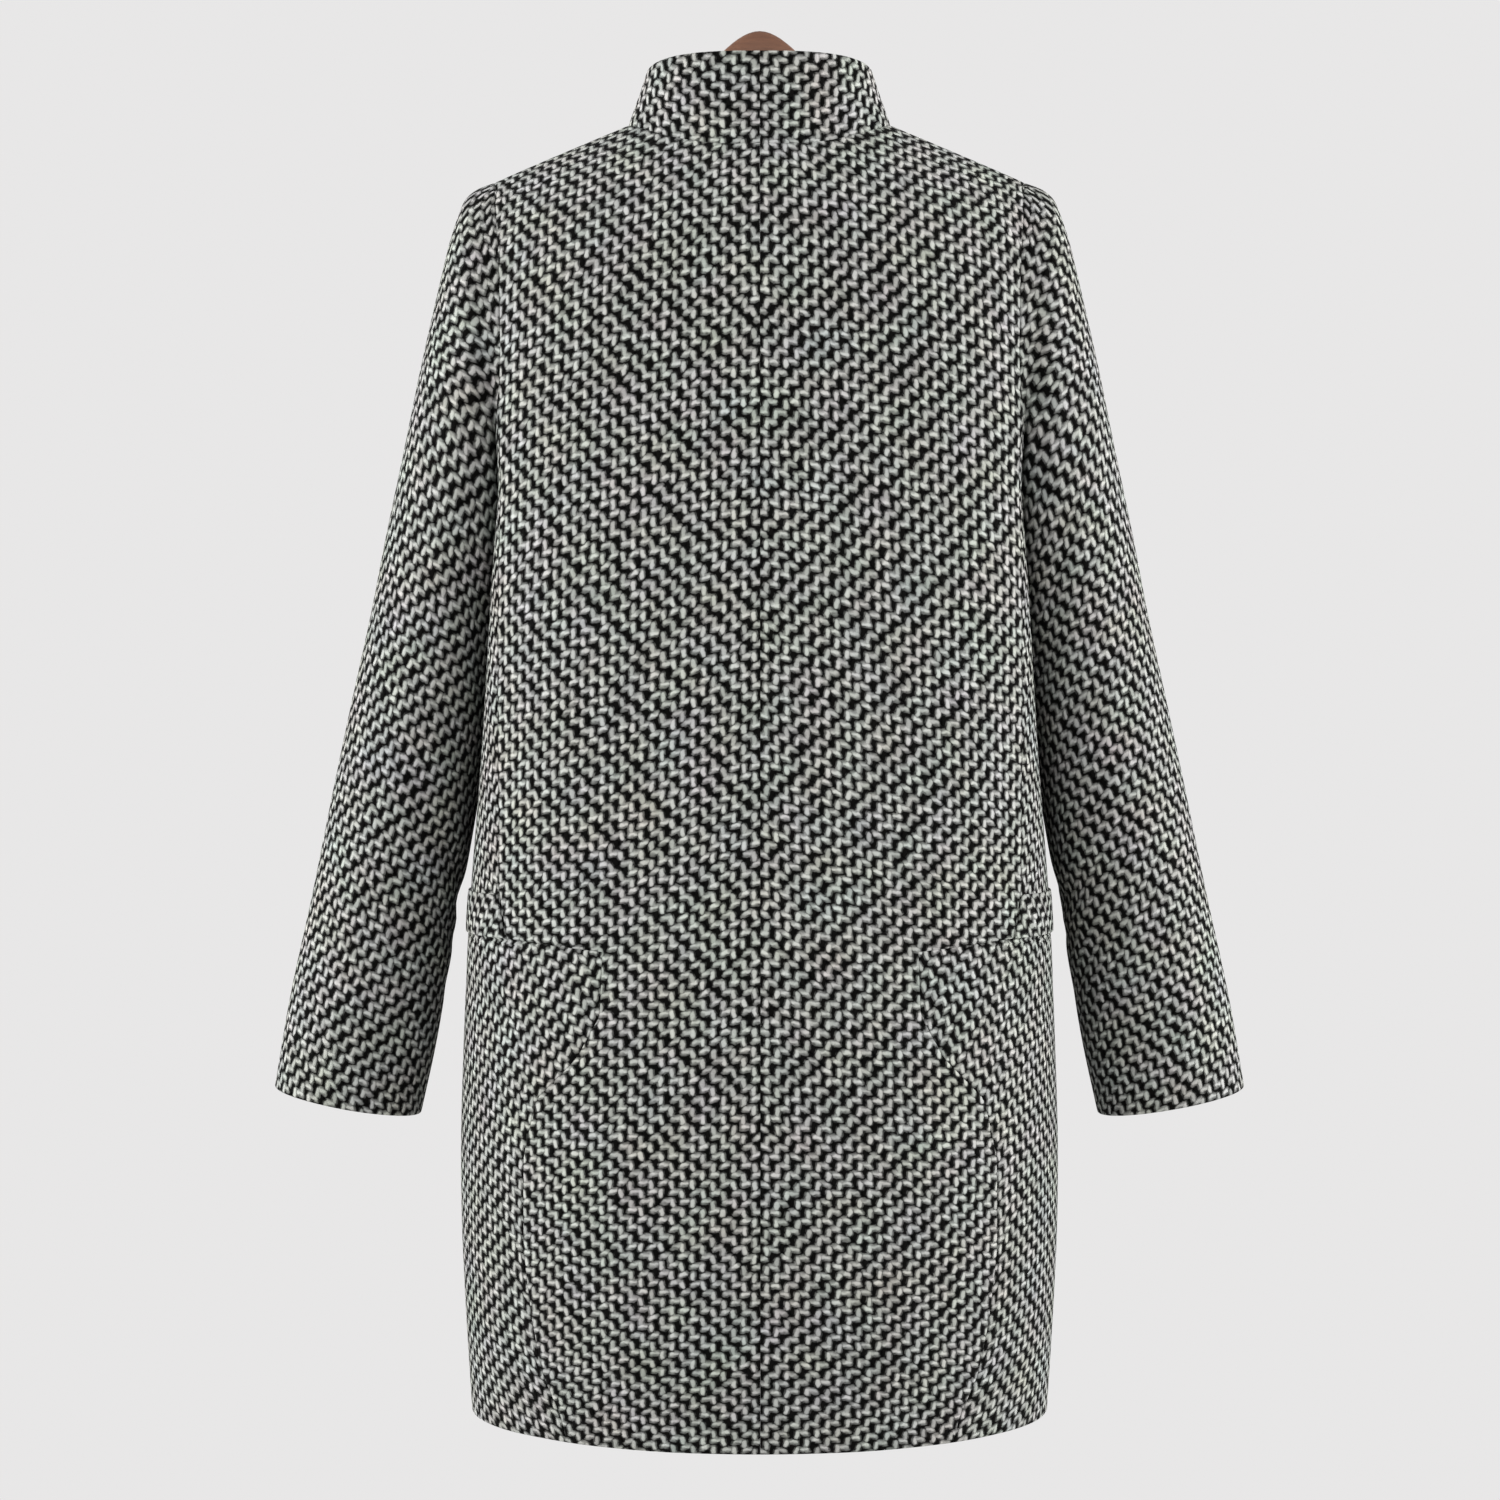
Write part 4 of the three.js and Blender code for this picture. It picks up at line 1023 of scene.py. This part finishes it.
def tweed():
    graph = Graph("tweed")
    flow = graph.add("UVMap", uv_map="weave").outputs[0]
    place = graph.place()
    split = graph.add("SeparateXYZ", flow)
    shake = graph.add("SeparateColor", graph.noise("shake", place, "Color"))
    wander = graph.add("SeparateColor", graph.noise("wander", place, "Color"))
    u, v = (graph.sum(split.outputs[axis], graph.spread(shake.outputs[axis], YARN_SHAKE),
                      graph.spread(wander.outputs[axis], YARN_WANDER)) for axis in (0, 1))
    top, light, tone = yarn_float(graph, u, v, "warp", False)
    for kind, line, along, beside in (
            ("warp", u, v, True), ("weft", v, u, False), ("weft", v, u, True)):
        height, other_light, other_tone = yarn_float(graph, line, along, kind, beside)
        rise = graph("SUBTRACT", height, top)
        over = graph.add("Math", rise, 1 / FLOAT_BLEND, 0.5, operation="MULTIPLY_ADD", use_clamp=True)
        top = graph("SMOOTH_MAX", height, top, FLOAT_EASE)
        light = graph.mix(over.outputs[0], light, other_light)
        tone = graph.mix(over.outputs[0], tone, other_tone)
    fibres = graph.noise("fibres", place)
    tone = graph("MULTIPLY_ADD", fibres, FIBRE_TONE, graph.sum(tone, FIBRE_TONE_START))
    pale, dark = graph.colour(tone, *LIGHT_YARN), graph.colour(tone, *DARK_YARN)
    colour = graph.colour(light, dark, pale)
    colour = graph.colour(TINTS, colour, graph.noise("tint", place, "Color"), "OVERLAY")
    crown = graph("SQRT", graph("MAXIMUM", top, 0.0))
    depth = graph.add("MapRange", interpolation_type="SMOOTHSTEP")
    for socket, value in zip(depth.inputs, (top, GAP_START, 1.0, GAP_SHADE, 1.0)):
        graph.put(socket, value)
    shade = graph.add("CombineXYZ", *[depth.outputs[0]] * 3).outputs[0]
    colour = graph.colour(1.0, colour, shade, "MULTIPLY")
    height = graph.sum(crown, graph("MULTIPLY", fibres, FIBRE_RELIEF))
    return graph.surface(colour, height, distance=0.0011, strength=0.8, Roughness=0.95,
                         Specular_IOR_Level=0.01, Sheen_Weight=0.01, Sheen_Roughness=0.6)


def wood():
    graph = Graph("wood")
    place = graph.place()
    grain, pores = graph.noise("grain", place), graph.noise("pores", place)
    colour = graph.colour(grain, *WOOD)
    pits = graph("GREATER_THAN", pores, PORE_LIMIT)
    colour = graph.colour(graph("MULTIPLY", pits, PORE_SHARE), colour, PORE)
    height = graph.sum(graph("MULTIPLY", grain, GRAIN_RELIEF), graph("MULTIPLY", pits, PORE_RELIEF))
    rough = graph("MULTIPLY_ADD", grain, *WOOD_ROUGHNESS)
    return graph.surface(colour, height, distance=0.0003, strength=0.5, Roughness=rough,
                         Specular_IOR_Level=0.4)


def horn():
    graph = Graph("horn")
    place = graph.place()
    past = graph("SUBTRACT", graph.noise("cloud", place), HORN_BAND_START)
    band = graph("SMOOTH_MAX", past, 0.0, HORN_BAND_SOFT)
    colour = graph.colour(graph("MULTIPLY", band, HORN_BAND_STRENGTH), *HORN)
    scratch = graph.noise("scratch", place)
    rough = graph("MULTIPLY_ADD", scratch, *HORN_ROUGHNESS)
    return graph.surface(colour, scratch, distance=0.00005, strength=0.3, Roughness=rough,
                         Specular_IOR_Level=0.3)


def thread():
    graph = Graph("thread")
    twist = graph.noise("twist", graph.place())
    colour = graph.colour(twist, *THREAD_COLOURS)
    return graph.surface(colour, twist, distance=0.0002, strength=0.6, Roughness=0.8,
                         Specular_IOR_Level=0.2)


MATERIALS = {"tweed": tweed(), "wood": wood(), "horn": horn(), "thread": thread()}


def finished(piece, material, slot, *nodes):
    piece.data.materials.clear()
    piece.data.materials.append(MATERIALS[material])
    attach(piece, "root")
    if nodes:
        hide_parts(*nodes)


def cloth(node, points, normals, thick, weave, held, **settings):
    if settings.get("mirror"):
        weave = weave + [0, HALF_SHIFT]
    piece, flat, area = shell("cloth_" + node, points, normals, thick, weave, **settings)
    finished(piece, "tweed", "tweed", node)


back, back_out, back_edges = back_panel()
side, side_out, side_top, side_far = side_panel()
over_edges = front_panel(False)[2]

SIDES = {"left": 1, "right": -1}
for name, sign in SIDES.items():
    flipped = {"mirror": sign < 0}
    turned = np.array([sign, 1, 1])

    def crease(points):
        return body_crease(points * turned)

    cloth("back_" + name, back, back_out, CLOTH, body_weave("back", back), ["hanger"],
          out=crease(back), folds=("bottom",), **flipped)
    cloth("side_" + name, side, side_out, CLOTH, side_weave(side, side_far), ["cloth_back_" + name],
          out=crease(side), folds=("bottom",), **flipped)
    front, front_out, front_edges = front_panel(name == "left")
    cloth("front_" + name, front, front_out, CLOTH, body_weave("front", front), ["hanger"],
          out=crease(front), folds=("bottom", "left"), **flipped)
    arm, arm_out = sleeve(back_edges["armhole"], side_top, over_edges["armhole"])
    cloth("sleeve_" + name, arm, arm_out, CLOTH, sleeve_weave(arm), ["cloth_back_" + name],
          out=sleeve_crease(arm, sign), closed=True, folds=("top",), **flipped)
    neck, neck_out = collar(back_edges["neckline"], front_edges["neckline"])
    cloth("collar_" + name, neck, neck_out, COLLAR_CLOTH, collar_weave(neck),
          ["cloth_back_" + name], folds=("top", "right"), **flipped)

bpy.context.view_layer.update()

FLAT_X = np.array([1, 0, 0])
FLAT_Y = np.array([0, 1, 0])


def mesh_piece(name, build):
    """An object whose mesh is filled by a function of a bmesh."""
    mesh = bpy.data.meshes.new(name)
    shape = bmesh.new()
    build(shape)
    bmesh.ops.recalc_face_normals(shape, faces=shape.faces)
    shape.to_mesh(mesh)
    shape.free()
    return smoothed(name, mesh, SHARP_ANGLE)


def rings_into(shape, rings):
    """Joins rings of points into a closed tube."""
    made = [[shape.verts.new([value * METRES for value in point]) for point in ring] for ring in rings]
    for low, high in zip(made, made[1:]):
        for i in range(len(low)):
            j = (i + 1) % len(low)
            shape.faces.new((low[i], low[j], high[j], high[i]))
    shape.faces.new(made[0])
    shape.faces.new(made[-1])


def turns_of(sides):
    return [2 * math.pi * k / sides for k in range(sides)]


def ring_round(centre, radius, sides, across=FLAT_X, third=FLAT_Y):
    """A ring of points round a place, on the plane of two directions."""
    return [centre + radius * (across * math.cos(t) + third * math.sin(t)) for t in turns_of(sides)]


def tubes(name, *tubes_of_rings):
    return mesh_piece(name, lambda shape: [rings_into(shape, rings) for rings in tubes_of_rings])


# Pocket welts lie on the side panels, from seam to seam, with their cloth turned on its side
WELT_ROWS = 9
WELT_COLUMNS = 60
heights = lerp(POCKET_LOW_Z, POCKET_HIGH_Z, edged(WELT_ROWS))
welt, welt_out, welt_far = gathered([side_nodes(z, edged(WELT_COLUMNS)) for z in heights])
welt_weave = threads(welt[..., 2], welt_far / THREAD)
for name, sign in SIDES.items():
    lift = body_crease(welt * [sign, 1, 1]) + SEAM_GAP + WELT_CLOTH
    cloth("welt_" + name, welt, welt_out, WELT_CLOTH, welt_weave, ["cloth_side_" + name], out=lift,
          folds=("bottom", "top", "left", "right"), mirror=sign < 0)


# Buttons with four holes, their thread, and what shows of the buttonholes
HOLE_RADIUS = 1.1
HOLE_SPREAD = 2.4
HOLE_SIDES = 16
HOLE_DEPTHS = (0.8, 6)
THREAD_RADIUS = 0.55
THREAD_SIDES = 8
THREAD_STEPS = 12
THREAD_LOW = 1.6
THREAD_RISE = 1.5
THREAD_STEEP = 7
THREAD_ACROSS = (0.3, -0.9, 0.1)
SLOT_THREAD_RADIUS = 0.7
BUTTON_PROFILE = [(11.2, 0), (12.1, 0.5), (12.5, 1.4), (12.3, 2.8), (11.7, 3.6), (10.9, 4),
                  (10.0, 3.9), (9.2, 3.4), (8.2, 3.05), (5, 2.95)]
BUTTON_SIDES = 48
HOLE_PLACES = [np.array([x, y]) * HOLE_SPREAD for x, y in ((1, 1), (-1, 1), (-1, -1), (1, -1))]
THREAD_LOOPS = ((0, 2, 0.5), (1, 3, 1.2))


def thread_rings(first, last, rise):
    """A loop of thread from one hole to another, dipping into both."""
    start, end = HOLE_PLACES[first], HOLE_PLACES[last]
    rings = []
    for i in range(THREAD_STEPS + 1):
        share = i / THREAD_STEPS
        bow = math.sin(math.pi * share) ** 0.5
        centre = np.array([*lerp(start, end, share), THREAD_LOW + bow * (THREAD_RISE + rise)])
        slope = QUARTER_TURN * (1 - 2 * share)
        steep = THREAD_STEEP * math.sin(slope)
        along = unit(np.array([*((end - start) * math.cos(slope)), steep]))
        across = unit(np.cross(along, THREAD_ACROSS))
        third = np.cross(along, across)
        rings.append(ring_round(centre, THREAD_RADIUS, THREAD_SIDES, across, third))
    return rings


button_mesh = tubes("button_cut", [ring_round(np.array([0, 0, height]), radius, BUTTON_SIDES)
                                   for radius, height in BUTTON_PROFILE])
holes = tubes("button_holes", *[
    [ring_round(np.array([*place, z]), HOLE_RADIUS, HOLE_SIDES) for z in HOLE_DEPTHS]
    for place in HOLE_PLACES])
cut = button_mesh.modifiers.new("holes", "BOOLEAN")
cut.object = holes
cut.solver = "EXACT"
bpy.context.view_layer.update()
finished_button = button_mesh.evaluated_get(bpy.context.evaluated_depsgraph_get())
pierced = bpy.data.meshes.new_from_object(finished_button)
for helper in (button_mesh, holes):
    bpy.data.objects.remove(helper)


def placed(piece, point, normal, lift):
    """Stands a piece modelled on the XY plane on the cloth, its own up along the cloth's."""
    z_axis = unit(np.array(normal))
    x_axis = unit(np.cross([0, 0, 1], z_axis))
    turn = np.stack([x_axis, np.cross(z_axis, x_axis), z_axis], 1)
    local = np.zeros(len(piece.data.vertices) * 3)
    piece.data.vertices.foreach_get("co", local)
    world = local.reshape(-1, 3) @ turn.T + (np.array(point) + z_axis * lift) * METRES
    piece.data.vertices.foreach_set("co", world.ravel())
    piece.data.update()
    return piece


SLOT_STEPS = 6
SLOT_BEND = 9
SLOT_RISE = 0.2
SLOT_START = 13.4
SLOT_END = 22
SLOT_HALF_HEIGHT = 0.95


def buttonhole_rings(z):
    """The worked edge of a buttonhole from the button's rim round its far end and back."""
    straight = np.linspace(SLOT_START, SLOT_END, SLOT_STEPS)
    turn = np.linspace(-QUARTER_TURN, QUARTER_TURN, SLOT_BEND)[1:-1]
    bend = SLOT_END + SLOT_HALF_HEIGHT * np.cos(turn)
    across = np.concatenate([straight, bend, straight[::-1]])
    ones = np.ones(len(straight))
    rise = np.concatenate([-ones, np.sin(turn), ones]) * SLOT_HALF_HEIGHT
    points, normals = (part * [-1, 1, 1] for part in nodes_across("front", z + rise, across))
    return [ring_round(point + out * SLOT_RISE, SLOT_THREAD_RADIUS, THREAD_SIDES,
                       unit(np.cross(way, out)), out)
            for point, way, out in zip(points, np.gradient(points, axis=0), normals)]


for i in range(BUTTON_COUNT):
    z = BUTTON_TOP_Z - i * BUTTON_SPACING
    point, normal = body_nodes("front", z, QUARTER_TURN)
    number = str(i + 1)
    button = linked("pierced_button_" + number, pierced.copy())
    placed(button, point, normal, SEAM_GAP)
    finished(button, "horn", "horn", "button_" + number)
    loops = tubes("button_thread_" + number, *[thread_rings(*loop) for loop in THREAD_LOOPS])
    finished(placed(loops, point, normal, SEAM_GAP), "thread", "horn")
    finished(tubes("buttonhole_" + number, buttonhole_rings(z)), "thread", "tweed")


# The hanger, as the solid but finer
HANGER_STEPS = 150
HANGER_SIDES = 36


def hanger_rings():
    rings = []
    for i in range(HANGER_STEPS + 1):
        x = HANGER_REACH * math.sin(lerp(-1, 1, i / HANGER_STEPS) * QUARTER_TURN)
        arm = ridge_z(math.hypot(x, HUMP_SOFTNESS)) - HANGER_SEAT
        middle = ridge_z(HUMP_SOFTNESS) - HANGER_SEAT
        hump = (1 + math.cos(min(1, abs(x) / HUMP_HALF_WIDTH) * math.pi)) / 2
        top = arm - middle * hump
        outward = abs(x) / HANGER_REACH
        rounding = math.sqrt(1 - float(smooth_step(HANGER_TIP_START, HANGER_TIP_END, outward)) ** 2)
        bottom = arm - lerp(HANGER_HEIGHT, HANGER_TIP_HEIGHT, outward**2) * rounding
        ring = []
        for turn in turns_of(HANGER_SIDES):
            soft = [math.copysign(abs(wave) ** HANGER_SQUARING, wave)
                    for wave in (math.cos(turn), math.sin(turn))]
            y = HANGER_HALF_THICKNESS * rounding * soft[0]
            ring.append((x, y, lerp(bottom, top, (1 + soft[1]) / 2)))
        rings.append(ring)
    return rings


finished(tubes("wooden_hanger", hanger_rings()), "wood", "wood", "hanger")


# Stage, light and camera
CAMERA_DISTANCE = 1.7
CAMERA_X = 0.00637
CAMERA_Z = -0.4815
LENS = 60.9
SENSOR = 36.0
FLOOR_Z = -1.72
FLOOR_RADIUS = 2.1
FLOOR_SIDES = 96
PALE = (0.806, 0.799, 0.799)
FLOOR_PALE = (0.42, 0.417, 0.417)

floor = mesh_piece("floor", lambda shape: bmesh.ops.create_circle(
    shape, cap_ends=True, segments=FLOOR_SIDES, radius=FLOOR_RADIUS))
floor.location.z = FLOOR_Z
plain = Graph("pale_floor")
paper = plain.noise("paper", plain.place())
floor.data.materials.append(plain.surface(
    (*FLOOR_PALE, 1), paper, distance=0.001, strength=0.1, Roughness=0.9))

world = bpy.data.worlds.new("pale")
bpy.context.scene.world = world
world.use_nodes = True
world.node_tree.nodes["Background"].inputs["Color"].default_value = (*PALE, 1)
world.node_tree.nodes["Background"].inputs["Strength"].default_value = 1.0

# Lamps: name, place, size and power
LIGHTS = [
    ("left", (2.5, 0.4, 0.1), 1.8, 110),
    ("right", (-2.5, 0.4, 0.2), 1.8, 110),
    ("back left", (1.7, 2.8, 0.2), 2, 40),
    ("back right", (-1.7, 2.8, 0.2), 2, 40),
    ("front left", (1.5, -2.8, 0.9), 2, 45),
    ("front right", (-1.3, -2.9, 0.6), 2, 38),
]
TARGET = np.array([0, 0, CAMERA_Z])
for name, place, size, power in LIGHTS:
    lamp = bpy.data.lights.new(name, "AREA")
    lamp.size = size
    lamp.energy = power
    light = linked(name, lamp)
    light.location = place
    light.rotation_euler = Vector(TARGET - np.array(place)).to_track_quat("-Z", "Y").to_euler()

lens = bpy.data.cameras.new("camera")
lens.lens = LENS
lens.sensor_width = SENSOR
camera = linked("camera", lens)
camera.location = (CAMERA_X, CAMERA_DISTANCE, CAMERA_Z)
camera.rotation_euler = (QUARTER_TURN, 0, math.pi)
bpy.context.scene.camera = camera
bpy.context.scene.view_settings.view_transform = "Standard"
